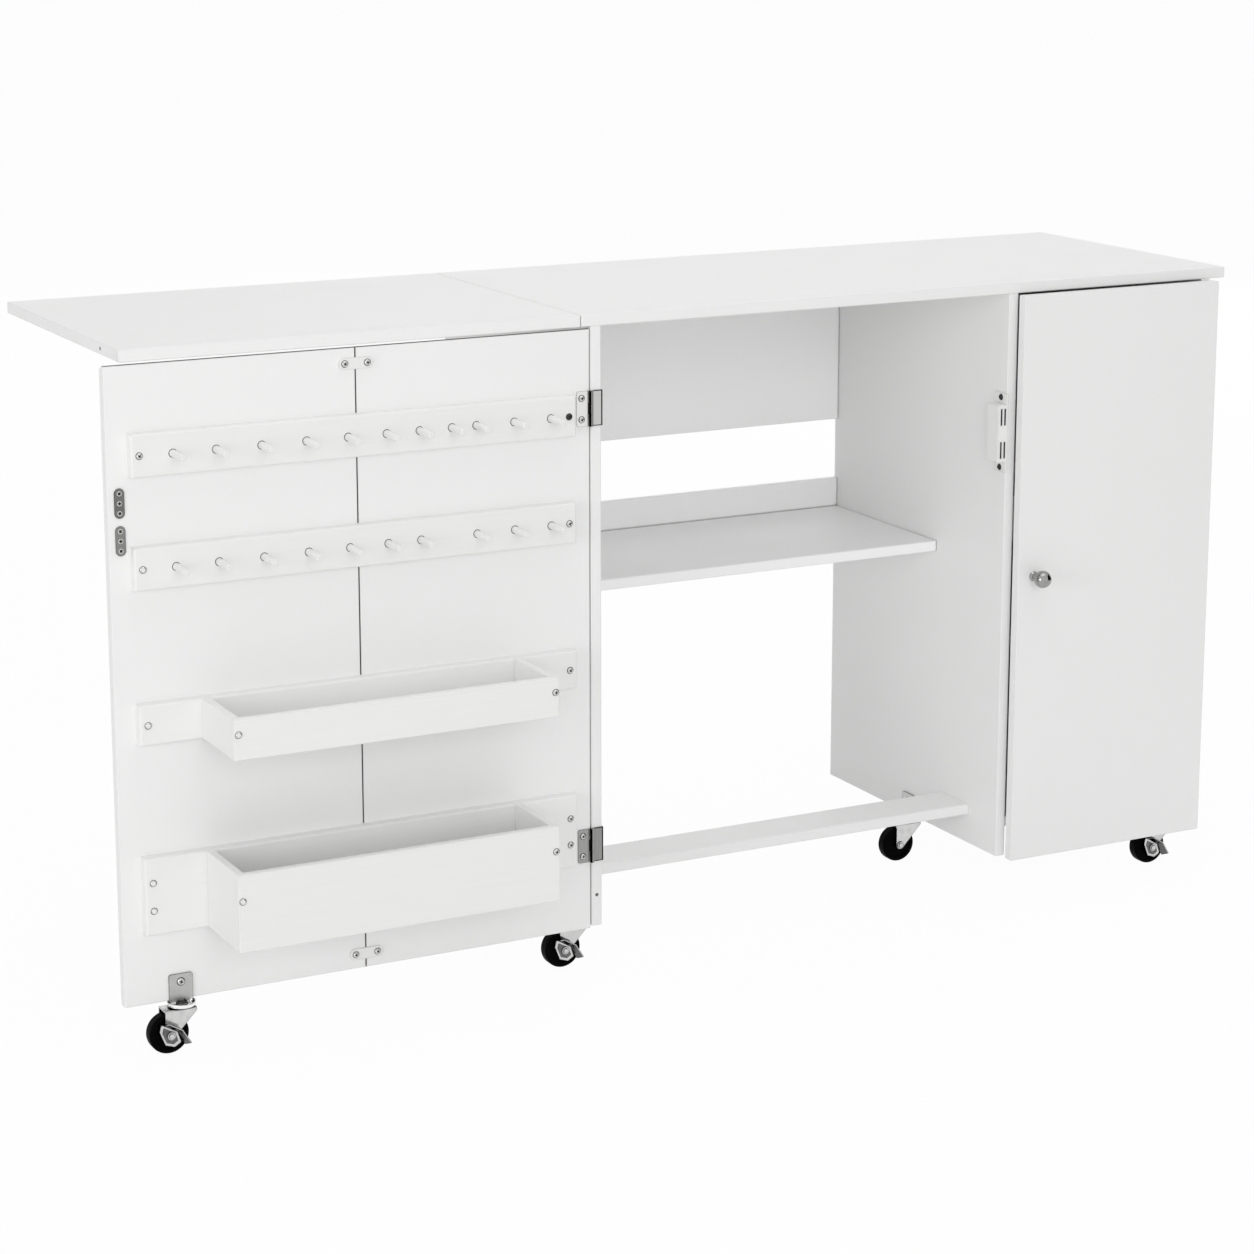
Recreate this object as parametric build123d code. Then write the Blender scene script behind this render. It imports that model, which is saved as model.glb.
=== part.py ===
"""Folding sewing table on casters: a cabinet with an open bay and a cupboard, a drop leaf,
and a swing door that carries the leaf and holds spool rails and bins on its inner face.

Millimetres, +Z up, front towards -Y. The origin is on the floor under the middle of the
whole opened table. The door stands open, the leaf is up and the cupboard is shut.
"""
import os

from build123d import *

# Worktop
HEIGHT = 768.0
DEPTH = 394.0
BOARD = 13.0
MAIN_LENGTH = 882.0
LEAF_LENGTH = 530.0
LEAF_SEAM = 1.2
EDGE_EASE = 0.8

# Cabinet
LEFT_OVERHANG = 11.0
RIGHT_OVERHANG = 22.0
BAY_WIDTH = 542.0
BACK_HEIGHT = 212.0
BACK_BOARD = 8.0
BACK_SHEET = 4.0
SHELF_TOP = 427.5
SHELF_SETBACK = 146.0
SHELF_RAIL_RISE = 37.5
FOOTREST_TOP = 109.0
FOOTREST_SETBACK = 61.0
FOOTREST_WIDTH = 60.0
CUPBOARD_SHELVES = 2
CUPBOARD_SHELF_SETBACK = 18.0

# Doors
DOOR_SIDE_GAP = 1.5
DOOR_TOP_GAP = 2.5
CUPBOARD_TOP_GAP = 1.2
DOOR_DROP = 2.0
DOOR_OVERLAY = 3.0
DOOR_SEAM = 0.6
LEAF_CLEARANCE = 0.4
JOINER_LENGTH = 40.0
JOINER_HEIGHT = 12.5
JOINER_THICKNESS = 2.5
JOINER_INSET = 17.0
KNOB_RADIUS = 10.5
KNOB_NECK_RADIUS = 3.6
KNOB_FOOT_RADIUS = 6.0
KNOB_FOOT_HEIGHT = 2.5
KNOB_REACH = 20.0
KNOB_INSET = 22.0
KNOB_HEIGHT = 413.0

# Spool rails and bins on the swing door
RAIL_MARGIN = 22.5
RAIL_THICKNESS = 13.0
RAIL_HEIGHT = 46.0
RAIL_ROUND = 2.5
UPPER_RAIL_DROP = 94.0
RAIL_PITCH = 120.5
PEG_RADIUS = 4.0
PEG_LENGTH = 33.0
PEG_SEAT = 8.0
PEG_ROUND = 1.0
PEG_FIT = 0.05
PEG_PLACES = (-211.0, -163.5, -113.0, -62.5, -15.0, 29.5, 68.0, 135.0, 180.5, 225.0)
UPPER_EXTRA_PEG = 106.0
BIN_BOARD = 9.0
BIN_DEPTH = 96.0
BIN_INSET = 69.5
BIN_FLOOR = 4.0
UPPER_BIN_FOOT = 347.5
UPPER_BIN_HEIGHT = 44.5
LOWER_BIN_FOOT = 137.5
LOWER_BIN_HEIGHT = 86.0

# Butt hinges
HINGE_HEIGHT = 40.0
HINGE_LEAF = 1.2
HINGE_STANDOFF = 2.8
HINGE_HEAD_INSET = 89.0
HINGE_FOOT_INSET = 100.0
HINGE_ROUND = 2.5
KNUCKLE_RADIUS = 2.5
KNUCKLE_GAP = 0.3
PIN_RADIUS = 1.2
PIN_FIT = 0.05
DOOR_LEAF_WIDTH = 17.0
EDGE_LEAF_WRAP = 18.0
TOP_LEAF_MARGIN = 1.0
LEAF_HINGE_INSET = 70.0

# Magnetic catches
CATCH_DROP = 164.5
CUPBOARD_CATCH_DROP = 270.0
CATCH_WIDTH = 14.0
CATCH_REACH = 24.0
CATCH_FLANGE = 3.0
CATCH_TAB = 13.0
CATCH_GAP = 0.5
MAGNET_PITCH = 40.0
MAGNET_HEIGHT = 20.0
POLE_THICKNESS = 1.6
POLE_SPACING = 5.0
POLE_PROUD = 0.6
STRIKE_LENGTH = 32.0
STRIKE_WIDTH = 11.0
STRIKE_THICKNESS = 1.2
STRIKE_INSET = 12.5

# Casters
WHEEL_RADIUS = 22.5
WHEEL_WIDTH = 16.0
WHEEL_ROUND = 3.5
WHEEL_DISH = 1.5
WHEEL_RIM = 6.0
WHEEL_HUB_RADIUS = 7.0
WHEEL_SIDE_GAP = 1.2
WHEEL_TOP_GAP = 3.0
TRAIL = 17.0
FORK_SHEET = 1.8
FORK_NOSE = 13.5
FORK_TAIL = 22.5
FORK_FOOT_RADIUS = 5.5
FORK_FOLD = 1.6
AXLE_RADIUS = 3.0
AXLE_HEAD_RADIUS = 4.6
AXLE_HEAD_HEIGHT = 1.5
AXLE_PROUD = 1.0
AXLE_FIT = 0.05
KINGPIN_RADIUS = 4.0
KINGPIN_HEAD_RADIUS = 6.0
KINGPIN_HEAD_HEIGHT = 1.6
SWIVEL_GAP = 0.4
DISH_RADIUS = 15.5
DISH_WALL = 1.6
DISH_HEIGHT = 5.0
DISH_ROUND = 2.0
DISH_LIP = 0.6
PANEL_CLEARANCE = 3.5
BRACKET_SHEET = 2.0
BRACKET_WIDTH = 27.0
BRACKET_HEIGHT = 36.0
BRACKET_REACH = 2.0
BRACKET_ROUND = 3.0
BRACKET_ARCH = 7.6
DOOR_CASTER_INSET = 62.5
FRONT_CASTER_SETBACK = 44.0
MIDDLE_CASTER_SETBACK = 198.0
REAR_CASTER_SETBACK = 345.0
BRAKE_SHEET = 1.5
BRAKE_GAP = 0.3
BRAKE_ROUND = 1.5
BRAKE_EAR = (-11.0, 14.0)
BRAKE_ELBOW = (7.0, 3.5)
BRAKE_OUTLINE = (BRAKE_EAR, BRAKE_ELBOW, (11.0, -8.8), (3.6, -13.4), (-6.8, -9.9), (-13.0, 5.7))
PEDAL_START = (-7.5, 12.0)
PEDAL_TIP = (16.5, -12.5)
PEDAL_SHEET = 1.4
PEDAL_DEPTH = 10.0
PEDAL_LEAN = 0.4

# Screws
SCREW_HEAD_RADIUS = 3.4
SCREW_HEAD_HEIGHT = 1.8
SCREW_HEAD_ROUND = 1.3
SCREW_RADIUS = 1.6
SCREW_LENGTH = 10.0
RAIL_SCREW_LENGTH = 20.0
SCREW_FIT = 0.05
RAIL_SCREW_INSET = 9.0
RAIL_SCREW_SPREAD = 31.0
UPPER_BIN_SCREW_RISE = 28.0
LOWER_BIN_SCREW_RISE = 57.0
JOINER_SCREW_SPREAD = 26.0
STRIKE_SCREW_SPREAD = 21.0
HINGE_SCREW_SPREAD = 24.0
DOOR_LEAF_SCREW = 11.0
WRAP_SCREW = 11.0
CATCH_SCREW_INSET = 5.5
BRACKET_SCREW_RISE = 27.0

# Levels and planes that the pieces share
UNDERSIDE = HEIGHT - BOARD
FRONT = (RAIL_THICKNESS + BIN_DEPTH + SCREW_HEAD_HEIGHT - DEPTH) / 2
BACK = FRONT + DEPTH
DOOR_WIDTH = BOARD + BAY_WIDTH + DOOR_OVERLAY
LEFT_REACH = max(DOOR_WIDTH + DOOR_SIDE_GAP - LEFT_OVERHANG, LEAF_LENGTH + LEAF_SEAM)
MAIN_X = (LEFT_REACH - MAIN_LENGTH) / 2
LEAF_X = MAIN_X - LEAF_SEAM - LEAF_LENGTH
LEFT_X = MAIN_X + LEFT_OVERHANG
BAY_X = LEFT_X + BOARD
DIVIDER_X = BAY_X + BAY_WIDTH
CUPBOARD_X = DIVIDER_X + BOARD
RIGHT_X = MAIN_X + MAIN_LENGTH - RIGHT_OVERHANG
CUPBOARD_END = RIGHT_X - BOARD

# Caster levels, from the floor up
CROWN_BASE = 2 * WHEEL_RADIUS + WHEEL_TOP_GAP
CROWN_TOP = CROWN_BASE + FORK_SHEET
DISH_BASE = CROWN_TOP + SWIVEL_GAP
CHEEK_INNER = WHEEL_WIDTH / 2 + WHEEL_SIDE_GAP
CHEEK_OUTER = CHEEK_INNER + FORK_SHEET
PANEL_FOOT = DISH_BASE + DISH_HEIGHT + PANEL_CLEARANCE

# The swing door's place when open, its inner face level with the cabinet's front edges
DOOR_FOOT = PANEL_FOOT - DOOR_DROP
DOOR_HEAD = UNDERSIDE - DOOR_TOP_GAP
DOOR_END = LEFT_X - DOOR_SIDE_GAP
DOOR_X = DOOR_END - DOOR_WIDTH
DOOR_MIDDLE = DOOR_X + DOOR_WIDTH / 2
HINGE_Y = FRONT - HINGE_STANDOFF
SWING_AXIS_X = LEFT_X - DOOR_SIDE_GAP / 2
CUPBOARD_AXIS_X = RIGHT_X + DOOR_SIDE_GAP / 2
LEAF_AXIS_X = MAIN_X - LEAF_SEAM / 2
HINGE_LEVELS = (DOOR_FOOT + HINGE_FOOT_INSET, DOOR_HEAD - HINGE_HEAD_INSET)
LEAF_HINGE_DEPTHS = (FRONT + LEAF_HINGE_INSET, BACK - LEAF_HINGE_INSET)
UPPER_RAIL_LEVEL = DOOR_HEAD - UPPER_RAIL_DROP
CATCH_LEVEL = DOOR_HEAD - CATCH_DROP
CUPBOARD_CATCH_LEVEL = DOOR_HEAD - CUPBOARD_CATCH_DROP
SHUT_FACE = FRONT - 2 * HINGE_STANDOFF
CATCH_PROUD = 2 * HINGE_STANDOFF - STRIKE_THICKNESS - CATCH_GAP


def block(x, y, z):
    """A plain block between pairs of limits."""
    size = (x[1] - x[0], y[1] - y[0], z[1] - z[0])
    return Pos((x[0] + x[1]) / 2, (y[0] + y[1]) / 2, (z[0] + z[1]) / 2) * Box(*size)


def board(x, y, z, ease=EDGE_EASE):
    """A panel with every edge lightly eased, as edge banding is."""
    return chamfer(block(x, y, z).edges(), ease)


def across(sketch, y):
    """Extrudes a sketch drawn in X and Z between two depths."""
    return extrude(Plane.XZ.offset(-y[1]) * sketch, y[1] - y[0])


def spaced(count, length):
    """Places of evenly spaced dividers that split a length into count + 1 parts."""
    return [length * (i + 1) / (count + 1) for i in range(count)]


# Worktop and cabinet boards

def cabinet_boards():
    depth = (FRONT, BACK)
    upright = (PANEL_FOOT, UNDERSIDE)
    bay = (BAY_X, DIVIDER_X)
    cupboard = (CUPBOARD_X, CUPBOARD_END)
    back = (BACK - BACK_BOARD, BACK)
    shelf = (SHELF_TOP - BOARD, SHELF_TOP)
    foot = (FOOTREST_TOP - BOARD, FOOTREST_TOP)
    rest = (FRONT + FOOTREST_SETBACK, FRONT + FOOTREST_SETBACK + FOOTREST_WIDTH)
    inside = (FRONT, BACK - BACK_SHEET)
    shelf_depth = (FRONT + CUPBOARD_SHELF_SETBACK, BACK - BACK_SHEET)
    room = UNDERSIDE - FOOTREST_TOP
    shelf_levels = [FOOTREST_TOP + up for up in spaced(CUPBOARD_SHELVES, room)]
    return {
        "main_top": board((MAIN_X, MAIN_X + MAIN_LENGTH), (FRONT, BACK), (UNDERSIDE, HEIGHT)),
        "left_side_panel": board((LEFT_X, BAY_X), depth, upright),
        "divider_panel": board((DIVIDER_X, CUPBOARD_X), depth, upright),
        "right_side_panel": board((CUPBOARD_END, RIGHT_X), depth, upright),
        "upper_back_panel": board(bay, back, (UNDERSIDE - BACK_HEIGHT, UNDERSIDE)),
        "bay_shelf": board(bay, (FRONT + SHELF_SETBACK, BACK - BACK_BOARD), shelf),
        "shelf_back_rail": board(bay, back, (SHELF_TOP - BOARD, SHELF_TOP + SHELF_RAIL_RISE)),
        "footrest": board(bay, rest, foot),
        "cupboard_bottom": board(cupboard, inside, foot),
        "cupboard_back": block(cupboard, (BACK - BACK_SHEET, BACK), (foot[0], UNDERSIDE)),
        "cupboard_shelves": [board(cupboard, shelf_depth, (z - BOARD / 2, z + BOARD / 2))
                             for z in shelf_levels],
    }


def drop_leaf():
    return board((LEAF_X, LEAF_X + LEAF_LENGTH), (FRONT, BACK), (UNDERSIDE, HEIGHT))


# Swing door

def door_board(x):
    """One half of the door. The leaf sinks half as fast as the door swings away from under it,
    so the top edge falls back at that slope and stays below the leaf."""
    fall = BOARD / 2 - DOOR_TOP_GAP + LEAF_CLEARANCE
    back = FRONT + BOARD
    section = Polyline((FRONT, DOOR_FOOT), (back, DOOR_FOOT), (back, DOOR_HEAD - fall),
                       (back - 2 * fall, DOOR_HEAD), (FRONT, DOOR_HEAD), close=True)
    slab = extrude(Plane.YZ.offset(x[0]) * make_face(section), x[1] - x[0])
    inner_edges = slab.edges().filter_by_position(Axis.Y, FRONT, FRONT)
    return chamfer(inner_edges, EDGE_EASE)


def stadium(length, height, thickness, face):
    """A flat plate with round ends along X, standing proud of a face towards -Y."""
    return across(SlotOverall(length, height), (face - thickness, face))


def door_joiners():
    plate = stadium(JOINER_LENGTH, JOINER_HEIGHT, JOINER_THICKNESS, FRONT)
    levels = (DOOR_FOOT + JOINER_INSET, DOOR_HEAD - JOINER_INSET)
    return [Pos(DOOR_MIDDLE, 0, z) * plate for z in levels]


def door_rail(foot, height):
    """A strip screwed along the door, its front edges rounded."""
    x = (DOOR_X + RAIL_MARGIN, DOOR_END - RAIL_MARGIN)
    face = FRONT - RAIL_THICKNESS
    strip = block(x, (face, FRONT), (foot, foot + height))
    return fillet(strip.faces().sort_by(Axis.Y)[0].edges(), RAIL_ROUND)


def peg_rail(level, places):
    """A spool rail with a blind hole for each peg, and the pegs that sit in them."""
    face = FRONT - RAIL_THICKNESS
    hole = across(Circle(PEG_RADIUS + PEG_FIT), (face, face + PEG_SEAT))
    peg = across(Circle(PEG_RADIUS), (face - PEG_LENGTH, face + PEG_SEAT))
    peg = fillet(peg.edges().sort_by(Axis.Y)[0], PEG_ROUND)
    rail = door_rail(level - RAIL_HEIGHT / 2, RAIL_HEIGHT)
    spots = [Pos(DOOR_MIDDLE + place, 0, level) for place in places]
    for spot in spots:
        rail -= spot * hole
    return rail, [spot * peg for spot in spots]


def door_bin(name, foot, height):
    """A bin: back strip on the door, two ends, a front that covers them, and a thin floor."""
    back = FRONT - RAIL_THICKNESS
    front = back - BIN_DEPTH
    inner = front + BIN_BOARD
    left = DOOR_X + RAIL_MARGIN + BIN_INSET
    right = DOOR_END - RAIL_MARGIN - BIN_INSET
    tall = (foot, foot + height)
    sides = ((left, left + BIN_BOARD), (right - BIN_BOARD, right))
    return {
        name + "_back": door_rail(foot, height),
        name + "_ends": [board(x, (inner, back), tall) for x in sides],
        name + "_front": board((left, right), (front, inner), tall),
        name + "_floor": block((sides[0][1], sides[1][0]), (inner, back), (foot, foot + BIN_FLOOR)),
    }


# Cupboard door

def cupboard_door():
    x = (CUPBOARD_X - DOOR_OVERLAY, RIGHT_X)
    return board(x, (SHUT_FACE - BOARD, SHUT_FACE), (DOOR_FOOT, UNDERSIDE - CUPBOARD_TOP_GAP))


def door_knob():
    """A ball on a waisted neck and a round foot, turned about its own axis."""
    ball = Pos(0, 0, KNOB_REACH) * Sphere(KNOB_RADIUS)
    neck = Pos(0, 0, KNOB_REACH / 2) * Cylinder(KNOB_NECK_RADIUS, KNOB_REACH)
    foot = Pos(0, 0, KNOB_FOOT_HEIGHT / 2) * Cone(KNOB_FOOT_RADIUS, KNOB_NECK_RADIUS, KNOB_FOOT_HEIGHT)
    x = CUPBOARD_X - DOOR_OVERLAY + KNOB_INSET
    return Pos(x, SHUT_FACE - BOARD, KNOB_HEIGHT) * Rot(90, 0, 0) * (ball + neck + foot)


# Hinges, drawn open and flat about a pin on the Z axis, with the faces they are screwed to
# at Y = HINGE_STANDOFF, the fixed leaf towards +X and the swinging leaf towards -X

def knuckle(z):
    ring = Circle(KNUCKLE_RADIUS) - Circle(PIN_RADIUS + PIN_FIT)
    return Pos(0, 0, z[0]) * extrude(ring, z[1] - z[0])


def hinge_plate(x, z):
    return block(x, (HINGE_STANDOFF - HINGE_LEAF, HINGE_STANDOFF), z)


def hinge_leaf(width, knuckles):
    """A leaf on the +X side, with a tongue rolled into each of its knuckles."""
    start = KNUCKLE_RADIUS + KNUCKLE_GAP
    leaf = hinge_plate((start, width), (-HINGE_HEIGHT / 2, HINGE_HEIGHT / 2))
    corners = leaf.edges().filter_by(Axis.Y).group_by(Axis.X)[-1]
    leaf = fillet(corners, HINGE_ROUND)
    for z in knuckles:
        leaf += hinge_plate((0, start), z) + knuckle(z)
    return leaf


def hinge(fixed_width, swing_width, wrap=0.0):
    """Fixed leaf, swinging leaf and pin. A wrap folds the fixed leaf round its board's edge."""
    third = HINGE_HEIGHT / 3
    half = third / 2
    outer = ((-HINGE_HEIGHT / 2, -half), (half, HINGE_HEIGHT / 2))
    middle = ((-half + KNUCKLE_GAP, half - KNUCKLE_GAP),)
    fixed = hinge_leaf(fixed_width, outer)
    if wrap:
        flange = block((fixed_width, fixed_width + HINGE_LEAF),
                       (HINGE_STANDOFF - HINGE_LEAF, HINGE_STANDOFF + wrap),
                       (-HINGE_HEIGHT / 2, HINGE_HEIGHT / 2))
        lip = hinge_plate((fixed_width - HINGE_ROUND, fixed_width),
                          (-HINGE_HEIGHT / 2, HINGE_HEIGHT / 2))
        fixed += flange + lip
    swinging = mirror(hinge_leaf(swing_width, middle), about=Plane.YZ)
    pin = Cylinder(PIN_RADIUS, HINGE_HEIGHT)
    return fixed, swinging, pin


def swing_door_hinges():
    wrap_edge = BAY_X - SWING_AXIS_X
    pieces = hinge(wrap_edge, DOOR_LEAF_WIDTH, EDGE_LEAF_WRAP)
    return [[Pos(SWING_AXIS_X, HINGE_Y, z) * piece for z in HINGE_LEVELS] for piece in pieces]


def cupboard_hinges():
    """The same hinge on the other hand, its swinging leaf folded shut."""
    wrap_edge = CUPBOARD_AXIS_X - CUPBOARD_END
    fixed, swinging, pin = hinge(wrap_edge, DOOR_LEAF_WIDTH, EDGE_LEAF_WRAP)
    pieces = (mirror(fixed, about=Plane.YZ), mirror(Rot(0, 0, 180) * swinging, about=Plane.YZ), pin)
    return [[Pos(CUPBOARD_AXIS_X, HINGE_Y, z) * piece for z in HINGE_LEVELS] for piece in pieces]


def leaf_hinges():
    """Under the seam, with the pins along Y."""
    pieces = hinge(LEFT_X - LEAF_AXIS_X - TOP_LEAF_MARGIN, DOOR_LEAF_WIDTH)
    level = UNDERSIDE - HINGE_STANDOFF
    return [[Pos(LEAF_AXIS_X, y, level) * Rot(90, 0, 0) * piece for y in LEAF_HINGE_DEPTHS]
            for piece in pieces]


# Magnetic catches

def catch_half(magnets):
    """Half the height of a catch's body."""
    return ((magnets - 1) * MAGNET_PITCH + MAGNET_HEIGHT) / 2 + POLE_SPACING


def catch(level, magnets):
    """A catch on a face at X = 0, reaching towards -X, with its poles at the front.
    Returns the housing and the steel pole strips."""
    front = FRONT - CATCH_PROUD + POLE_PROUD
    half = catch_half(magnets)
    deep = (front, front + CATCH_REACH)
    housing = board((-CATCH_WIDTH, 0), deep, (level - half, level + half))
    housing += block((-CATCH_FLANGE, 0), deep, (level - half - CATCH_TAB, level + half + CATCH_TAB))
    strips = []
    for i in range(magnets):
        middle = level + (i - (magnets - 1) / 2) * MAGNET_PITCH
        for side in (-1, 1):
            x = -CATCH_WIDTH / 2 + side * POLE_SPACING / 2
            strips.append(block((x - POLE_THICKNESS / 2, x + POLE_THICKNESS / 2),
                                (front - POLE_PROUD, front + CATCH_REACH / 2),
                                (middle - MAGNET_HEIGHT / 2, middle + MAGNET_HEIGHT / 2)))
    for strip in strips:
        housing -= strip
    return housing, strips


def door_strikes():
    plate = Rot(0, 90, 0) * stadium(STRIKE_LENGTH, STRIKE_WIDTH, STRIKE_THICKNESS, FRONT)
    spread = MAGNET_PITCH / 2
    levels = (CATCH_LEVEL - spread, CATCH_LEVEL + spread)
    return [Pos(DOOR_X + STRIKE_INSET, 0, z) * plate for z in levels]


def cupboard_strike():
    thickness = (SHUT_FACE, SHUT_FACE + STRIKE_THICKNESS)
    plate = Rot(0, 90, 0) * across(SlotOverall(STRIKE_LENGTH, STRIKE_WIDTH), thickness)
    return Pos(CUPBOARD_X + CATCH_WIDTH / 2, 0, CUPBOARD_CATCH_LEVEL) * plate


# Casters, drawn about a swivel axis on Z with the floor at Z = 0, the wheel trailing towards -X

def caster_bracket(turn):
    """A shallow pressed dish on the swivel axis and the plate that screws to a board, turned so
    that the plate stands on the side of that board. It arches over the kingpin's head."""
    rim = Circle(DISH_RADIUS) - Circle(DISH_RADIUS - DISH_WALL)
    floor = Circle(DISH_RADIUS) - Circle(KINGPIN_RADIUS + AXLE_FIT)
    dish = extrude(floor, DISH_WALL) + extrude(rim, DISH_HEIGHT)
    dish = fillet(dish.edges().group_by(Axis.Z)[0].sort_by(SortBy.RADIUS)[-1], DISH_ROUND)
    dish = fillet(dish.edges().group_by(Axis.Z)[-1], DISH_LIP)
    plate = block((BRACKET_REACH - BRACKET_SHEET, BRACKET_REACH),
                  (-BRACKET_WIDTH / 2, BRACKET_WIDTH / 2), (0, BRACKET_HEIGHT))
    corners = plate.edges().filter_by(Axis.X).group_by(Axis.Z)[-1]
    plate = fillet(corners, BRACKET_ROUND)
    plate -= Rot(0, 90, 0) * Cylinder(BRACKET_ARCH, 2 * BRACKET_REACH)
    return Pos(0, 0, DISH_BASE) * Rot(0, 0, turn) * (dish + plate)


def caster_fork(braked):
    """A folded sheet fork with its kingpin, and the axle riveted through its cheeks."""
    crown_x = (FORK_NOSE - FORK_TAIL) / 2
    crown_length = FORK_NOSE + FORK_TAIL
    foot = Pos(-TRAIL, WHEEL_RADIUS) * Circle(FORK_FOOT_RADIUS)
    head = Pos(crown_x, CROWN_TOP - FORK_SHEET) * Rectangle(crown_length, 2 * FORK_SHEET)
    bore = Pos(-TRAIL, WHEEL_RADIUS) * Circle(AXLE_RADIUS + AXLE_FIT)
    cheek = make_hull(foot.edges() + head.edges()) - bore
    fork = across(cheek, (-CHEEK_OUTER, -CHEEK_INNER)) + across(cheek, (CHEEK_INNER, CHEEK_OUTER))
    fork += block((-FORK_TAIL, FORK_NOSE), (-CHEEK_OUTER, CHEEK_OUTER), (CROWN_BASE, CROWN_TOP))
    fork = fillet(fork.edges().filter_by(Axis.X).group_by(Axis.Z)[-1], FORK_FOLD)
    pin_top = DISH_BASE + DISH_WALL + SWIVEL_GAP
    fork += Pos(0, 0, CROWN_TOP) * extrude(Circle(KINGPIN_RADIUS), pin_top - CROWN_TOP)
    fork += Pos(0, 0, pin_top) * extrude(Circle(KINGPIN_HEAD_RADIUS), KINGPIN_HEAD_HEIGHT)
    near = -CHEEK_OUTER
    if braked:
        near -= BRAKE_SHEET + 2 * BRAKE_GAP
    rod = across(Circle(AXLE_RADIUS), (near - AXLE_HEAD_HEIGHT - AXLE_PROUD, CHEEK_OUTER))
    head = Circle(AXLE_HEAD_RADIUS)
    rod += across(head, (near - AXLE_HEAD_HEIGHT, near))
    rod += across(head, (CHEEK_OUTER, CHEEK_OUTER + AXLE_HEAD_HEIGHT))
    return [fork, Pos(-TRAIL, 0, WHEEL_RADIUS) * rod]


def caster_wheel():
    """A rounded tyre with shallow dished sides and a bored hub."""
    half = WHEEL_WIDTH / 2
    disc = across(Circle(WHEEL_RADIUS), (-half, half))
    disc = fillet(disc.edges().filter_by(GeomType.CIRCLE), WHEEL_ROUND)
    dish = Circle(WHEEL_RADIUS - WHEEL_RIM) - Circle(WHEEL_HUB_RADIUS)
    disc -= across(dish, (-half, -half + WHEEL_DISH))
    disc -= across(dish, (half - WHEEL_DISH, half))
    disc -= across(Circle(AXLE_RADIUS + AXLE_FIT), (-half, half))
    return Pos(-TRAIL, 0, WHEEL_RADIUS) * disc


def caster_brake():
    """A lever that turns on the axle outside the near cheek: a plate with a pointed ear,
    and a pedal flared out along its upper edge and past the elbow to a tip."""
    near = -CHEEK_OUTER - BRAKE_GAP - BRAKE_SHEET
    far = near + BRAKE_SHEET
    plate = make_face(Polyline(*BRAKE_OUTLINE, close=True))
    plate = fillet(plate.vertices(), BRAKE_ROUND) - Circle(AXLE_RADIUS + AXLE_FIT)
    lever = across(plate, (near, far))
    pedal = Plane.XZ.offset(-far) * trace(Polyline(PEDAL_START, BRAKE_ELBOW, PEDAL_TIP), PEDAL_SHEET)
    lever += extrude(pedal, PEDAL_DEPTH, dir=(PEDAL_LEAN, -1, PEDAL_LEAN))
    return Pos(-TRAIL, 0, WHEEL_RADIUS) * lever


CASTERS = {
    "door": (DOOR_X + DOOR_CASTER_INSET, FRONT - BRACKET_REACH, 90, True),
    "left_front": (LEFT_X - BRACKET_REACH, FRONT + FRONT_CASTER_SETBACK, 0, True),
    "left_rear": (LEFT_X - BRACKET_REACH, FRONT + REAR_CASTER_SETBACK, 0, False),
    "middle": (DIVIDER_X - BRACKET_REACH, FRONT + MIDDLE_CASTER_SETBACK, 0, False),
    "right_front": (CUPBOARD_END - BRACKET_REACH, FRONT + FRONT_CASTER_SETBACK, 0, True),
    "right_rear": (CUPBOARD_END - BRACKET_REACH, FRONT + REAR_CASTER_SETBACK, 0, False),
}


# Screws, placed by the spot where the head seats, with the spot's Z pointing out of the face

OUT = {"-X": Rot(0, -90, 0), "+X": Rot(0, 90, 0), "-Y": Rot(90, 0, 0),
       "+Y": Rot(-90, 0, 0), "-Z": Rot(180, 0, 0)}


def screw(length, flush):
    """A plain shank, level with the face or under a pan head with a rounded top."""
    shank = extrude(Circle(SCREW_RADIUS), -length)
    if flush:
        return shank
    head = extrude(Circle(SCREW_HEAD_RADIUS), SCREW_HEAD_HEIGHT)
    return shank + fillet(head.edges().sort_by(Axis.Z)[-1], SCREW_HEAD_ROUND)


def bored(shape, tools):
    """A piece, or each piece of a group, with the screw holes cut in it."""
    if isinstance(shape, list):
        return [bored(piece, tools) for piece in shape]
    return shape - tools


def fasten(nodes, group, through, spots, face, length=SCREW_LENGTH, flush=False):
    """Adds a screw at each spot to a group of screws, and bores the nodes that it goes through."""
    places = [Pos(*spot) * OUT[face] for spot in spots]
    pilot = extrude(Circle(SCREW_RADIUS + SCREW_FIT), -length - SCREW_FIT)
    for name in through:
        nodes[name] = bored(nodes[name], [place * pilot for place in places])
    nodes.setdefault(group, []).extend(place * screw(length, flush) for place in places)


def pair(middle, spread):
    return (middle - spread / 2, middle + spread / 2)


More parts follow.
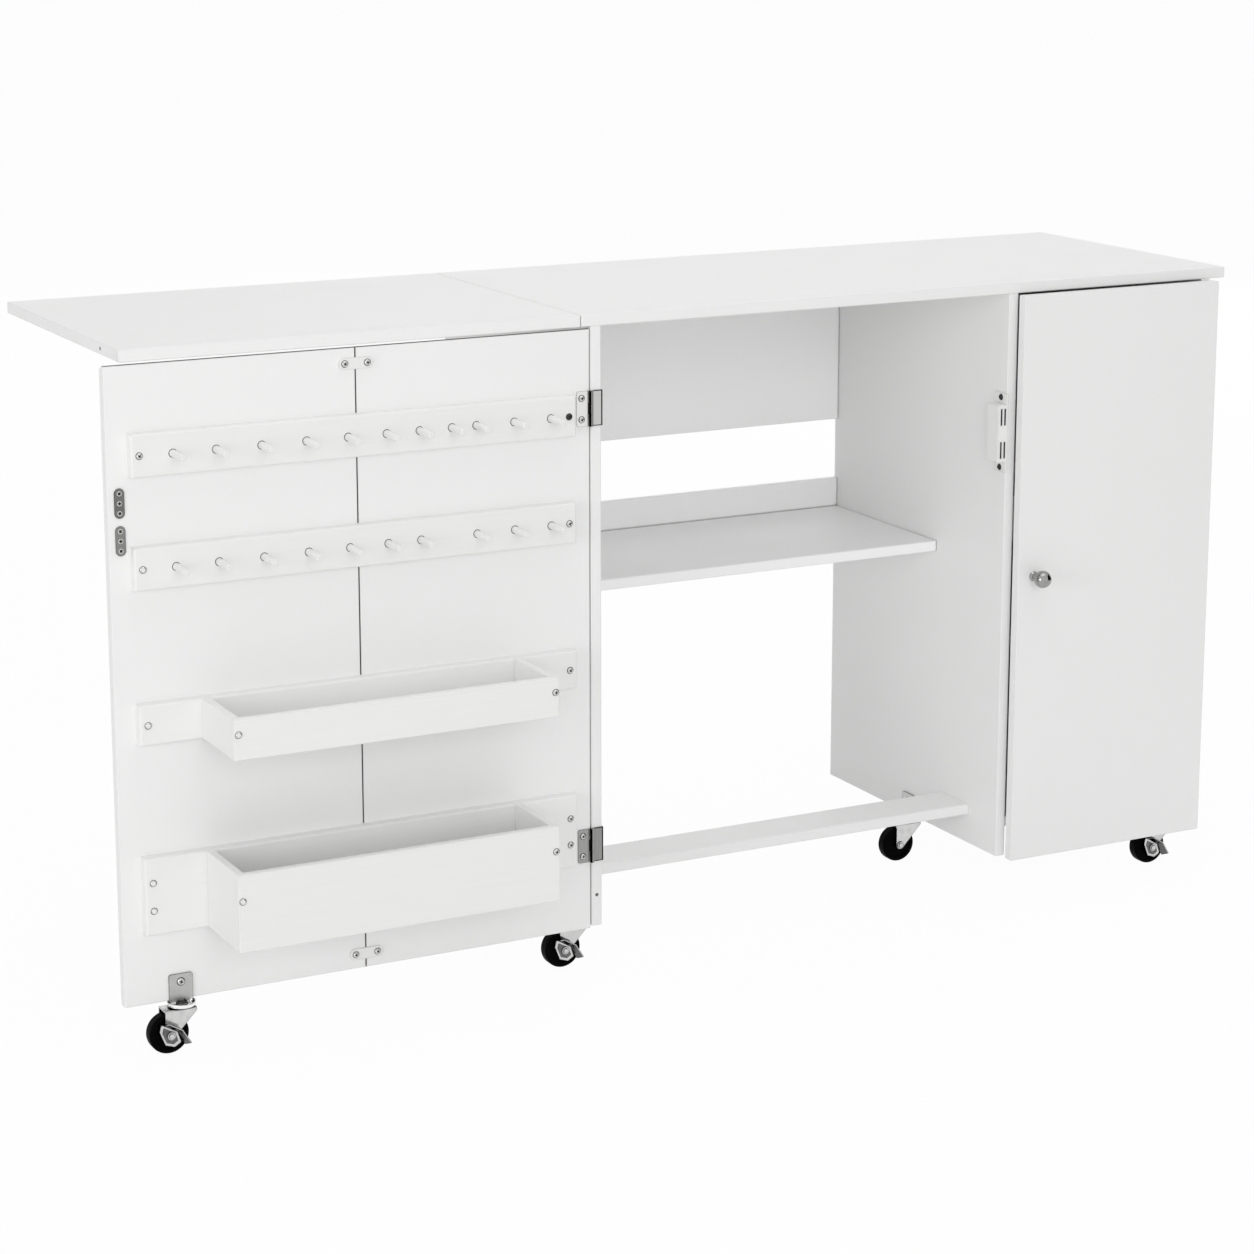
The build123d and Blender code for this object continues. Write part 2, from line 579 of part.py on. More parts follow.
def fasten_door(nodes):
    boards = ["door_board_outer", "door_board_inner"]
    rail_face = FRONT - RAIL_THICKNESS
    left = DOOR_X + RAIL_MARGIN + RAIL_SCREW_INSET
    right = DOOR_END - RAIL_MARGIN - RAIL_SCREW_INSET
    lower_rail_level = UPPER_RAIL_LEVEL - RAIL_PITCH
    strips = {"upper_peg_rail": (UPPER_RAIL_LEVEL,), "lower_peg_rail": (lower_rail_level,),
              "upper_bin_back": (UPPER_BIN_FOOT + UPPER_BIN_HEIGHT / 2,),
              "lower_bin_back": pair(LOWER_BIN_FOOT + LOWER_BIN_HEIGHT / 2, RAIL_SCREW_SPREAD)}
    for strip, levels in strips.items():
        spots = [(x, rail_face, z) for x in (left, right) for z in levels]
        fasten(nodes, "door_screws", boards + [strip], spots, "-Y", RAIL_SCREW_LENGTH)

    bin_face = rail_face - BIN_DEPTH
    side = RAIL_MARGIN + BIN_INSET + BIN_BOARD / 2
    for name, level in (("upper_bin", UPPER_BIN_FOOT + UPPER_BIN_SCREW_RISE),
                        ("lower_bin", LOWER_BIN_FOOT + LOWER_BIN_SCREW_RISE)):
        spots = [(x, bin_face, level) for x in (DOOR_X + side, DOOR_END - side)]
        fasten(nodes, "door_screws", [name + "_front", name + "_ends"], spots, "-Y", RAIL_SCREW_LENGTH)

    spots = [(x, FRONT - JOINER_THICKNESS, z) for x in pair(DOOR_MIDDLE, JOINER_SCREW_SPREAD)
             for z in (DOOR_FOOT + JOINER_INSET, DOOR_HEAD - JOINER_INSET)]
    fasten(nodes, "door_screws", boards + ["door_joiners"], spots, "-Y")

    spots = [(DOOR_X + STRIKE_INSET, FRONT - STRIKE_THICKNESS, z) for level in pair(CATCH_LEVEL, MAGNET_PITCH)
             for z in pair(level, STRIKE_SCREW_SPREAD)]
    fasten(nodes, "door_screws", [boards[0], "catch_strikes"], spots, "-Y", flush=True)

    spots = [(SWING_AXIS_X - DOOR_LEAF_SCREW, FRONT - HINGE_LEAF, z) for level in HINGE_LEVELS
             for z in pair(level, HINGE_SCREW_SPREAD)]
    fasten(nodes, "door_screws", [boards[1], "swing_door_hinge_leaves"], spots, "-Y")

    spots = [(DOOR_X + DOOR_CASTER_INSET, FRONT - BRACKET_SHEET, DISH_BASE + BRACKET_SCREW_RISE)]
    fasten(nodes, "door_screws", [boards[0], "door_caster_bracket"], spots, "-Y")


def fasten_cabinet(nodes):
    levels = [z for level in HINGE_LEVELS for z in pair(level, HINGE_SCREW_SPREAD)]
    y = FRONT + WRAP_SCREW
    spots = [(BAY_X + HINGE_LEAF, y, z) for z in levels]
    fasten(nodes, "cabinet_screws", ["left_side_panel", "door_hinge_edge_leaves"], spots, "+X")
    spots = [(CUPBOARD_END - HINGE_LEAF, y, z) for z in levels]
    fasten(nodes, "cabinet_screws", ["right_side_panel", "door_hinge_edge_leaves"], spots, "-X")
    spots = [(CUPBOARD_AXIS_X - DOOR_LEAF_SCREW, SHUT_FACE + HINGE_LEAF, z) for z in levels]
    fasten(nodes, "cupboard_door_screws", ["cupboard_door", "cupboard_door_hinge_leaves"], spots, "+Y")

    y = FRONT - CATCH_PROUD + CATCH_REACH / 2
    for name, x, level, magnets, face in (
            ("door_catch", DIVIDER_X - CATCH_FLANGE, CATCH_LEVEL, 2, "-X"),
            ("cupboard_catch", CUPBOARD_X + CATCH_FLANGE, CUPBOARD_CATCH_LEVEL, 1, "+X")):
        spread = 2 * (catch_half(magnets) + CATCH_TAB - CATCH_SCREW_INSET)
        spots = [(x, y, z) for z in pair(level, spread)]
        fasten(nodes, "cabinet_screws", ["divider_panel", name], spots, face)
    spots = [(CUPBOARD_X + CATCH_WIDTH / 2, SHUT_FACE + STRIKE_THICKNESS, z)
             for z in pair(CUPBOARD_CATCH_LEVEL, STRIKE_SCREW_SPREAD)]
    fasten(nodes, "cupboard_door_screws", ["cupboard_door", "cupboard_strike"], spots, "+Y", flush=True)

    for board_name, face_x, places in (("left_side_panel", LEFT_X, ("left_front", "left_rear")),
                                       ("divider_panel", DIVIDER_X, ("middle",)),
                                       ("right_side_panel", CUPBOARD_END, ("right_front", "right_rear"))):
        rise = DISH_BASE + BRACKET_SCREW_RISE
        spots = [(face_x - BRACKET_SHEET, CASTERS[place][1], rise) for place in places]
        fasten(nodes, "cabinet_screws", [board_name, "caster_brackets"], spots, "-X")

    depths = [y for depth in LEAF_HINGE_DEPTHS for y in pair(depth, HINGE_SCREW_SPREAD)]
    level = UNDERSIDE - HINGE_LEAF
    spots = [((MAIN_X + LEFT_X) / 2, y, level) for y in depths]
    fasten(nodes, "cabinet_screws", ["main_top", "leaf_hinge_top_plates"], spots, "-Z")
    spots = [(LEAF_AXIS_X - DOOR_LEAF_SCREW, y, level) for y in depths]
    fasten(nodes, "leaf_screws", ["drop_leaf", "leaf_hinge_leaf_plates"], spots, "-Z")


# The whole table, one node a piece

nodes = cabinet_boards()
nodes["drop_leaf"] = drop_leaf()

seam = DOOR_SEAM / 2
nodes["door_board_outer"] = door_board((DOOR_X, DOOR_MIDDLE - seam))
nodes["door_board_inner"] = door_board((DOOR_MIDDLE + seam, DOOR_END))
nodes["door_joiners"] = door_joiners()
upper_rail, upper_pegs = peg_rail(UPPER_RAIL_LEVEL, PEG_PLACES + (UPPER_EXTRA_PEG,))
lower_rail, lower_pegs = peg_rail(UPPER_RAIL_LEVEL - RAIL_PITCH, PEG_PLACES)
nodes["upper_peg_rail"] = upper_rail
nodes["lower_peg_rail"] = lower_rail
nodes["spool_pegs"] = upper_pegs + lower_pegs
nodes.update(door_bin("upper_bin", UPPER_BIN_FOOT, UPPER_BIN_HEIGHT))
nodes.update(door_bin("lower_bin", LOWER_BIN_FOOT, LOWER_BIN_HEIGHT))
nodes["catch_strikes"] = door_strikes()

nodes["cupboard_door"] = cupboard_door()
nodes["door_knob"] = door_knob()
nodes["cupboard_strike"] = cupboard_strike()

swing_fixed, swing_moving, swing_pins = swing_door_hinges()
cupboard_fixed, cupboard_moving, cupboard_pins = cupboard_hinges()
leaf_fixed, leaf_moving, leaf_pins = leaf_hinges()
nodes["door_hinge_edge_leaves"] = swing_fixed + cupboard_fixed
nodes["swing_door_hinge_leaves"] = swing_moving
nodes["cupboard_door_hinge_leaves"] = cupboard_moving
nodes["leaf_hinge_top_plates"] = leaf_fixed
nodes["leaf_hinge_leaf_plates"] = leaf_moving
nodes["hinge_pins"] = swing_pins + cupboard_pins + leaf_pins

bay_catch, bay_poles = catch(CATCH_LEVEL, 2)
nodes["door_catch"] = Pos(DIVIDER_X, 0, 0) * bay_catch
small_catch, small_poles = catch(CUPBOARD_CATCH_LEVEL, 1)
inside_divider = Pos(CUPBOARD_X, 0, 0)
nodes["cupboard_catch"] = inside_divider * mirror(small_catch, about=Plane.YZ)
nodes["catch_poles"] = [Pos(DIVIDER_X, 0, 0) * pole for pole in bay_poles]
nodes["catch_poles"] += [inside_divider * mirror(pole, about=Plane.YZ) for pole in small_poles]

brackets = {}
for place, (x, y, turn, braked) in CASTERS.items():
    spot = Pos(x, y, 0)
    brackets[place] = spot * caster_bracket(turn)
    nodes["caster_fork_" + place] = [spot * piece for piece in caster_fork(braked)]
    nodes["caster_wheel_" + place] = spot * caster_wheel()
    if braked:
        nodes["caster_brake_" + place] = spot * caster_brake()
nodes["door_caster_bracket"] = brackets.pop("door")
nodes["caster_brackets"] = list(brackets.values())

fasten_door(nodes)
fasten_cabinet(nodes)

os.makedirs("parts", exist_ok=True)
for name, shape in nodes.items():
    piece = Compound(children=shape) if isinstance(shape, list) else shape
    export_step(piece, f"parts/{name}.step")
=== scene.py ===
import math
import random

import bmesh
import bpy
from mathutils import Matrix, Vector


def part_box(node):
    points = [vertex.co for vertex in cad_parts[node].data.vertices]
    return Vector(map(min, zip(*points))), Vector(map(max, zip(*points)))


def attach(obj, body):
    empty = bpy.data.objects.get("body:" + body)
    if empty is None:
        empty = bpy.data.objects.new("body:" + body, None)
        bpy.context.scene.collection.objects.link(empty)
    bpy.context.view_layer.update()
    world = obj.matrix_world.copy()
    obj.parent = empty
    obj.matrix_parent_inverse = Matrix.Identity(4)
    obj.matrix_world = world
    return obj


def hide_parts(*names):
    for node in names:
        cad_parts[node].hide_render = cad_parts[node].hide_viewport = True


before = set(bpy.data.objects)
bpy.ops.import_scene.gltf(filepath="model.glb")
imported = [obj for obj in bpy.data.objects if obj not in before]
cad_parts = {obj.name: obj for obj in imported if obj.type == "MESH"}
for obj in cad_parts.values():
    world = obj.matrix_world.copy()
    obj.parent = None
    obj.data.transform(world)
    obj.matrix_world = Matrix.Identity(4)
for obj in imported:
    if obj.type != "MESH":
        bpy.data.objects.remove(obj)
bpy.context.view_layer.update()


# Cabinet carcass: two side panels, a divider, the backs, the shelves and a footrest.
# Chipboard faced with white melamine paper and banded along its cut edges.
# Dowels and glue hold it together, so no fixing shows on the faces.

def linear(hex_colour):
    """sRGB hex to the linear colour that shaders take."""
    srgb = [int(hex_colour[i:i + 2], 16) / 255 for i in (1, 3, 5)]
    return [c / 12.92 if c <= 0.04045 else ((c + 0.055) / 1.055) ** 2.4 for c in srgb] + [1.0]


def per_mm(size):
    """Texture scale of a pattern whose features are this many millimetres apart."""
    return 1000.0 / size


def add(tree, kind, inputs=None, **settings):
    """Adds a shader node with its settings. An input is a value, or an output to link."""
    node = tree.nodes.new(kind)
    for name, value in settings.items():
        setattr(node, name, value)
    for name, value in (inputs or {}).items():
        socket = node.inputs[name]
        if isinstance(value, bpy.types.NodeSocket):
            tree.links.new(value, socket)
        else:
            socket.default_value = value
    return node


def new_finish(name):
    """A material with its tree, its shader and the place of each point on the table in metres."""
    material = bpy.data.materials.new(name)
    material.use_nodes = True
    tree = material.node_tree
    tree.nodes.clear()
    shader = add(tree, "ShaderNodeBsdfPrincipled")
    add(tree, "ShaderNodeOutputMaterial", {"Surface": shader.outputs["BSDF"]})
    place = add(tree, "ShaderNodeTexCoord").outputs["Object"]
    return material, tree, shader, place


def edge_mask(tree, width, full=0.90, none=0.995):
    """One along the edges of a board or plate, fading out within a width in metres. It is one where
    the rounded normal turns by more than the angle whose cosine is full, and zero below that of
    none."""
    rounded = add(tree, "ShaderNodeBevel", {"Radius": width}, samples=4)
    flat = add(tree, "ShaderNodeNewGeometry")
    turn = add(tree, "ShaderNodeVectorMath",
               {0: rounded.outputs["Normal"], 1: flat.outputs["True Normal"]},
               operation="DOT_PRODUCT")
    return add(tree, "ShaderNodeMapRange", {"Value": turn.outputs["Value"], "From Min": none,
                                            "From Max": full}).outputs["Result"]


def finish(material, *names):
    """Gives CAD nodes a material."""
    for name in names:
        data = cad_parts[name].data
        data.materials.clear()
        data.materials.append(material)


def melamine(name, pale, dull, banding, shaded_gaps=(), joint=0.0):
    """Melamine-faced chipboard: an even white sheet with a satin sheen, faint cloudy smears from
    handling and a slightly greyer line where the banding meets the face. Shaded gaps, given by an
    axis, a place and a half width, are painted dark grey: painted shade in the narrow gaps there.
    Where another board meets it, painted shade darkens the corner within a width in metres. The
    pressed pearl grain is 0.5 mm, too fine for the render, so it is drawn at 2 mm."""
    material, tree, shader, place = new_finish(name)
    cloud = add(tree, "ShaderNodeTexNoise", {"Vector": place, "Scale": per_mm(220), "Detail": 4.0})
    sheet = add(tree, "ShaderNodeMixRGB", {"Fac": cloud.outputs["Fac"], "Color1": linear(dull),
                                           "Color2": linear(pale)})
    wear = add(tree, "ShaderNodeTexNoise", {"Vector": place, "Scale": per_mm(25), "Detail": 5.0})
    line = add(tree, "ShaderNodeMath", {0: edge_mask(tree, width=0.0012), 1: wear.outputs["Fac"]},
               operation="MULTIPLY")
    colour = add(tree, "ShaderNodeMixRGB", {"Fac": line.outputs[0],
                                            "Color1": sheet.outputs["Color"],
                                            "Color2": linear(banding)}).outputs["Color"]
    where = add(tree, "ShaderNodeSeparateXYZ", {"Vector": place})
    # Painted shade for the narrow gaps: a mottled dark grey.
    gap_shade = add(tree, "ShaderNodeMixRGB", {"Fac": wear.outputs["Fac"], "Color1": linear("#4E4C4A"),
                                          "Color2": linear("#7C7976")})
    for axis, middle, half in shaded_gaps:
        near = add(tree, "ShaderNodeMath", {0: where.outputs[axis], 1: middle, 2: half},
                   operation="COMPARE")
        colour = add(tree, "ShaderNodeMixRGB", {"Fac": near.outputs[0], "Color1": colour,
                                                "Color2": gap_shade.outputs["Color"]}).outputs["Color"]
    if joint:
        # Painted shade: ambient occlusion darkens the corners where another board meets this one.
        corner = add(tree, "ShaderNodeAmbientOcclusion", {"Distance": joint}, samples=8)
        dust = add(tree, "ShaderNodeMapRange", {"Value": corner.outputs["AO"], "From Min": 0.85,
                                                "From Max": 0.45})
        colour = add(tree, "ShaderNodeMixRGB", {"Fac": dust.outputs["Result"], "Color1": colour,
                                                "Color2": linear("#A0A09E")}).outputs["Color"]
    smears = add(tree, "ShaderNodeTexNoise", {"Vector": place, "Scale": per_mm(70), "Detail": 6.0})
    sheen = add(tree, "ShaderNodeMapRange", {"Value": smears.outputs["Fac"], "From Min": 0.3,
                                             "From Max": 0.7, "To Min": 0.42, "To Max": 0.56})
    grain = add(tree, "ShaderNodeTexNoise", {"Vector": place, "Scale": per_mm(2), "Detail": 2.0})
    pearl = add(tree, "ShaderNodeBump", {"Height": grain.outputs["Fac"], "Strength": 0.05,
                                         "Distance": 0.0004})
    tree.links.new(colour, shader.inputs["Base Color"])
    tree.links.new(sheen.outputs["Result"], shader.inputs["Roughness"])
    tree.links.new(pearl.outputs["Normal"], shader.inputs["Normal"])
    shader.inputs["IOR"].default_value = 1.5
    return material


white_melamine = melamine("white_melamine_faced_chipboard", "#F4F4F4", "#F2F2F1", "#DADAD8")
finish(white_melamine, "left_side_panel", "divider_panel", "right_side_panel", "footrest",
       "cupboard_bottom", "cupboard_back", "cupboard_shelves")

# The boards inside the bay take a brighter white than the other boards, painted light that lifts
# the shade in the bay, and painted shade darkens the corners where boards meet.
finish(melamine("bay_melamine_painted_brighter", "#FDFDFD", "#FBFBFB", "#E2E2E0", joint=0.004),
       "upper_back_panel", "bay_shelf", "shelf_back_rail")


# Worktop: a main top glued on the carcass and a drop leaf hinged to its left end.
# The same white melamine board, with banded edges and one open seam between the two.

finish(white_melamine, "main_top", "drop_leaf")


# Swing door: two melamine boards side by side, with a joining plate at each end of the seam.
# The plates are white ABS, moulded with round ends and a fine spark texture, and screwed on.
# Their heads and meeting edges are painted dark grey: painted shade in the seam and above the door.

outer_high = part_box("door_board_outer")[1]
inner_low, inner_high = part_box("door_board_inner")
seam_half = 0.0008
head_half = 0.0005
# Painted shade in the seam between the boards and along their heads, in a band of this half width.
seam_gap_shade = ("X", (outer_high[0] + inner_low[0]) / 2, seam_half)
head_gap_shade = ("Z", outer_high[2], head_half)
finish(melamine("white_melamine_faced_door_board", "#F4F4F4", "#F2F2F1", "#DADAD8",
                (seam_gap_shade, head_gap_shade)), "door_board_outer", "door_board_inner")


def moulded_abs(name, pale, dull, rubbed):
    """Moulded ABS: a soft even tone, a little glossier than the boards, greyer where edges rub.
    Its spark texture is 0.3 mm, drawn at 1.2 mm so that it shows."""
    material, tree, shader, place = new_finish(name)
    mottle = add(tree, "ShaderNodeTexNoise", {"Vector": place, "Scale": per_mm(14), "Detail": 3.0})
    tint = add(tree, "ShaderNodeMixRGB", {"Fac": mottle.outputs["Fac"], "Color1": linear(dull),
                                          "Color2": linear(pale)})
    worn = add(tree, "ShaderNodeMixRGB", {"Fac": edge_mask(tree, width=0.0008),
                                          "Color1": tint.outputs["Color"],
                                          "Color2": linear(rubbed)})
    spark = add(tree, "ShaderNodeTexNoise", {"Vector": place, "Scale": per_mm(1.2), "Detail": 1.0})
    gloss = add(tree, "ShaderNodeMapRange", {"Value": mottle.outputs["Fac"], "To Min": 0.28,
                                             "To Max": 0.4})
    texture = add(tree, "ShaderNodeBump", {"Height": spark.outputs["Fac"], "Strength": 0.12,
                                           "Distance": 0.0003})
    tree.links.new(worn.outputs["Color"], shader.inputs["Base Color"])
    tree.links.new(gloss.outputs["Result"], shader.inputs["Roughness"])
    tree.links.new(texture.outputs["Normal"], shader.inputs["Normal"])
    shader.inputs["IOR"].default_value = 1.54
    return material


white_abs = moulded_abs("white_moulded_abs", "#F1F1F0", "#EAEAE9", "#B8B8B6")
finish(white_abs, "door_joiners")


# Spool rails and bins: thin fibreboard strips and boards wrapped in white foil.
# The rails and bin backs have rounded front edges; the bins are glued and screwed boxes.

# Foil-wrapped fibreboard: smooth satin white, with faint lengthwise drag lines from the wrapping
# rollers. The lines are 1 mm apart and a hand's width long, drawn at 3 mm.
white_foil, tree, shader, place = new_finish("white_foil_wrapped_fibreboard")
along = add(tree, "ShaderNodeMapping", {"Vector": place,
                                        "Scale": (per_mm(90), per_mm(3), per_mm(3))})
drag = add(tree, "ShaderNodeTexNoise", {"Vector": along.outputs["Vector"], "Scale": 1.0,
                                        "Detail": 3.0})
foil = add(tree, "ShaderNodeMixRGB", {"Fac": drag.outputs["Fac"], "Color1": linear("#EEEEED"),
                                      "Color2": linear("#F2F2F1")})
chips = add(tree, "ShaderNodeTexNoise", {"Vector": place, "Scale": per_mm(12), "Detail": 5.0})
rubbed = add(tree, "ShaderNodeMath", {0: edge_mask(tree, width=0.0010), 1: chips.outputs["Fac"]},
             operation="MULTIPLY")
colour = add(tree, "ShaderNodeMixRGB", {"Fac": rubbed.outputs[0], "Color1": foil.outputs["Color"],
                                        "Color2": linear("#CFCFCC")})
sheen = add(tree, "ShaderNodeMapRange", {"Value": drag.outputs["Fac"], "From Min": 0.3,
                                         "From Max": 0.7, "To Min": 0.34, "To Max": 0.46})
lines = add(tree, "ShaderNodeBump", {"Height": drag.outputs["Fac"], "Strength": 0.03,
                                     "Distance": 0.0004})
tree.links.new(colour.outputs["Color"], shader.inputs["Base Color"])
tree.links.new(sheen.outputs["Result"], shader.inputs["Roughness"])
tree.links.new(lines.outputs["Normal"], shader.inputs["Normal"])
shader.inputs["IOR"].default_value = 1.5
finish(white_foil, "upper_peg_rail", "lower_peg_rail", "upper_bin_back", "upper_bin_ends",
       "upper_bin_front", "upper_bin_floor", "lower_bin_back", "lower_bin_ends", "lower_bin_front",
       "lower_bin_floor")


# Spool pegs: short turned birch dowels, two rows of them, that hold reels of thread.
# Sprayed white and glued into blind holes in the rails.

# Sprayed birch: a soft white under which the grain still shows as fine raised lines along the peg.
# Birch pores are 0.1 mm wide, drawn at 1 mm.
white_birch, tree, shader, place = new_finish("white_sprayed_birch")
fibres = add(tree, "ShaderNodeMapping", {"Vector": place,
                                         "Scale": (per_mm(1), per_mm(14), per_mm(1))})
grain = add(tree, "ShaderNodeTexNoise", {"Vector": fibres.outputs["Vector"], "Scale": 1.0,
                                         "Detail": 4.0})
spray = add(tree, "ShaderNodeMixRGB", {"Fac": grain.outputs["Fac"], "Color1": linear("#E4E4E1"),
                                       "Color2": linear("#F3F3F2")})
gloss = add(tree, "ShaderNodeMapRange", {"Value": grain.outputs["Fac"], "To Min": 0.36,
                                         "To Max": 0.52})
raised = add(tree, "ShaderNodeBump", {"Height": grain.outputs["Fac"], "Strength": 0.15,
                                      "Distance": 0.0003})
tree.links.new(spray.outputs["Color"], shader.inputs["Base Color"])
tree.links.new(gloss.outputs["Result"], shader.inputs["Roughness"])
tree.links.new(raised.outputs["Normal"], shader.inputs["Normal"])
shader.inputs["IOR"].default_value = 1.48
finish(white_birch, "spool_pegs")


# Butt hinges: two leaves of rolled steel sheet each, their knuckles curled round a loose pin.
# They are nickel plated and brushed, and screwed to the door and round the panel's edge.

def brushed_steel(name, upper, lower, bands):
    """Brushed nickel-plated steel: a soft grey metal with fine upright scratches, paler on the
    upper hinges than on the lower ones, a painted reflection. Bands, given by an axis, a place, a
    half width and a tone, are painted shade: the dark edges of the leaves, the gap beside each
    knuckle and the knuckle itself. Every edge of the leaves is painted darker too, as shade. The
    brush lines are 0.2 mm apart, drawn at 1 mm."""
    material, tree, shader, place = new_finish(name)
    strokes = add(tree, "ShaderNodeMapping", {"Vector": place,
                                              "Scale": (per_mm(1), per_mm(1), per_mm(40))})
    brush = add(tree, "ShaderNodeTexNoise", {"Vector": strokes.outputs["Vector"], "Scale": 1.0,
                                             "Detail": 4.0})
    where = add(tree, "ShaderNodeSeparateXYZ", {"Vector": place})
    # Painted reflection: the lower hinges are painted duller, the upper ones paler.
    painted_dim_below, painted_bright_above = 0.3, 0.5
    lift = add(tree, "ShaderNodeMapRange", {"Value": where.outputs["Z"], "From Min": painted_dim_below,
                                            "From Max": painted_bright_above})
    dark, pale = [add(tree, "ShaderNodeMixRGB", {"Fac": lift.outputs["Result"],
                                                 "Color1": linear(low), "Color2": linear(high)})
                  for low, high in zip(lower, upper)]
    plate = add(tree, "ShaderNodeMixRGB", {"Fac": brush.outputs["Fac"],
                                           "Color1": dark.outputs["Color"],
                                           "Color2": pale.outputs["Color"]})
    # Painted shade: a dark line along every edge of the leaves.
    colour = add(tree, "ShaderNodeMixRGB", {"Fac": edge_mask(tree, width=0.0008),
                                            "Color1": plate.outputs["Color"],
                                            "Color2": linear("#4A4A49")}).outputs["Color"]
    for axis, middle, half, tone in bands:
        band = add(tree, "ShaderNodeMath", {0: where.outputs[axis], 1: middle, 2: half},
                   operation="COMPARE")
        colour = add(tree, "ShaderNodeMixRGB", {"Fac": band.outputs[0], "Color1": colour,
                                                "Color2": linear(tone)}).outputs["Color"]
    rough = add(tree, "ShaderNodeMapRange", {"Value": brush.outputs["Fac"], "To Min": 0.26,
                                             "To Max": 0.42})
    lines = add(tree, "ShaderNodeBump", {"Height": brush.outputs["Fac"], "Strength": 0.1,
                                         "Distance": 0.0002})
    tree.links.new(colour, shader.inputs["Base Color"])
    tree.links.new(rough.outputs["Result"], shader.inputs["Roughness"])
    tree.links.new(lines.outputs["Normal"], shader.inputs["Normal"])
    shader.inputs["Metallic"].default_value = 1.0
    return material


pin_radius = 0.0012
door_gap_half = 0.00075
hinge_height = 0.040
edge_shade_half = 0.0010
edge_shade_tone = "#2A2A29"
# Painted shade in the gap beside each knuckle and on the knuckle: place from the pin, half width
# and tone.
knuckle_shade_bands = ((-0.0018, 0.0011, "#080808"), (0.0010, 0.0016, "#9A9A99"))
pins_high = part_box("hinge_pins")[1]
edge_low, edge_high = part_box("door_hinge_edge_leaves")
door_axis = inner_high[0] + door_gap_half
cupboard_axis = pins_high[0] - pin_radius
knuckles = [("X", axis + aside, half, tone) for axis in (door_axis, cupboard_axis)
            for aside, half, tone in knuckle_shade_bands]
# Painted shade along the leaves' top and bottom edges and where the edge leaves meet the panel's
# inside.
shaded_edge_levels = (edge_low[2], edge_low[2] + hinge_height, edge_high[2] - hinge_height, edge_high[2])
shaded_edges = [("Z", level, edge_shade_half, edge_shade_tone) for level in shaded_edge_levels]
panel_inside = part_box("left_side_panel")[1][0]
shaded_edges.append(("X", panel_inside + edge_shade_half, 1.5 * edge_shade_half, edge_shade_tone))
finish(brushed_steel("brushed_nickel_plated_steel", ("#BABAB8", "#DCDCDA"), ("#7E7E7D", "#A8A8A6"),
                     shaded_edges + knuckles),
       "door_hinge_edge_leaves", "hinge_pins", "leaf_hinge_top_plates", "leaf_hinge_leaf_plates",
       "cupboard_door_hinge_leaves")
# The door's leaves take a paler copy of the same steel: a painted reflection.
finish(brushed_steel("nickel_plated_steel_painted_paler", ("#E2E2E0", "#F2F2F0"), ("#8A8A89", "#B4B4B2"),
                     knuckles), "swing_door_hinge_leaves")


# Magnetic catches: moulded ABS housings with steel pole strips at the mouth, white in the bay and
# grey in the cupboard. Each is screwed to the carcass and pulls on a stamped strike plate, which is
# screwed flat on the back of its door.

finish(white_abs, "door_catch")
finish(moulded_abs("grey_moulded_abs", "#7E7E7C", "#6C6C6A", "#8E8E8C"), "cupboard_catch")

# Cold-rolled pole steel: nearly black with oil, a dull gleam and a coarse saw-cut grain of 1.5 mm.
pole_steel, tree, shader, place = new_finish("oiled_cold_rolled_steel")
cut = add(tree, "ShaderNodeTexNoise", {"Vector": place, "Scale": per_mm(1.5), "Detail": 2.0})
oil = add(tree, "ShaderNodeMixRGB", {"Fac": cut.outputs["Fac"], "Color1": linear("#1E1E1E"),
                                     "Color2": linear("#3A3A39")})
dull = add(tree, "ShaderNodeMapRange", {"Value": cut.outputs["Fac"], "To Min": 0.4, "To Max": 0.6})
tree.links.new(oil.outputs["Color"], shader.inputs["Base Color"])
tree.links.new(dull.outputs["Result"], shader.inputs["Roughness"])
shader.inputs["Metallic"].default_value = 1.0
finish(pole_steel, "catch_poles")

# Stamped zinc plate: mid grey, cloudy over 5 mm where the passivation varies, with a dark cut
# edge. The upper plate is drawn darker than the lower one.
strike_zinc, tree, shader, place = new_finish("stamped_zinc_plated_steel")
bloom = add(tree, "ShaderNodeTexNoise", {"Vector": place, "Scale": per_mm(5), "Detail": 4.0})
strike_low, strike_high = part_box("catch_strikes")
strike_middle = (strike_low[2] + strike_high[2]) / 2
level = add(tree, "ShaderNodeSeparateXYZ", {"Vector": place}).outputs["Z"]
# The upper plate is drawn darker than the lower one.
upper = add(tree, "ShaderNodeMath", {0: level, 1: strike_middle}, operation="GREATER_THAN")
plate_tone = add(tree, "ShaderNodeMixRGB", {"Fac": upper.outputs[0], "Color1": linear("#8C8C8A"),
                                       "Color2": linear("#5C5C5B")})
zinc = add(tree, "ShaderNodeMixRGB", {"Fac": bloom.outputs["Fac"], "Color1": plate_tone.outputs["Color"],
                                      "Color2": linear("#8E8E8C")})
dark_edged = add(tree, "ShaderNodeMixRGB", {"Fac": edge_mask(tree, width=0.0008),
                                         "Color1": zinc.outputs["Color"],
                                         "Color2": linear("#3C3C3B")})
rough = add(tree, "ShaderNodeMapRange", {"Value": bloom.outputs["Fac"], "To Min": 0.3,
                                         "To Max": 0.5})
tree.links.new(dark_edged.outputs["Color"], shader.inputs["Base Color"])
tree.links.new(rough.outputs["Result"], shader.inputs["Roughness"])
shader.inputs["Metallic"].default_value = 1.0
finish(strike_zinc, "catch_strikes", "cupboard_strike")


# Cupboard door: one melamine board, overlaid on the divider and the right side panel.
# Its ball knob is die-cast zinc, polished and chromed, and screwed on from behind.

finish(white_melamine, "cupboard_door")

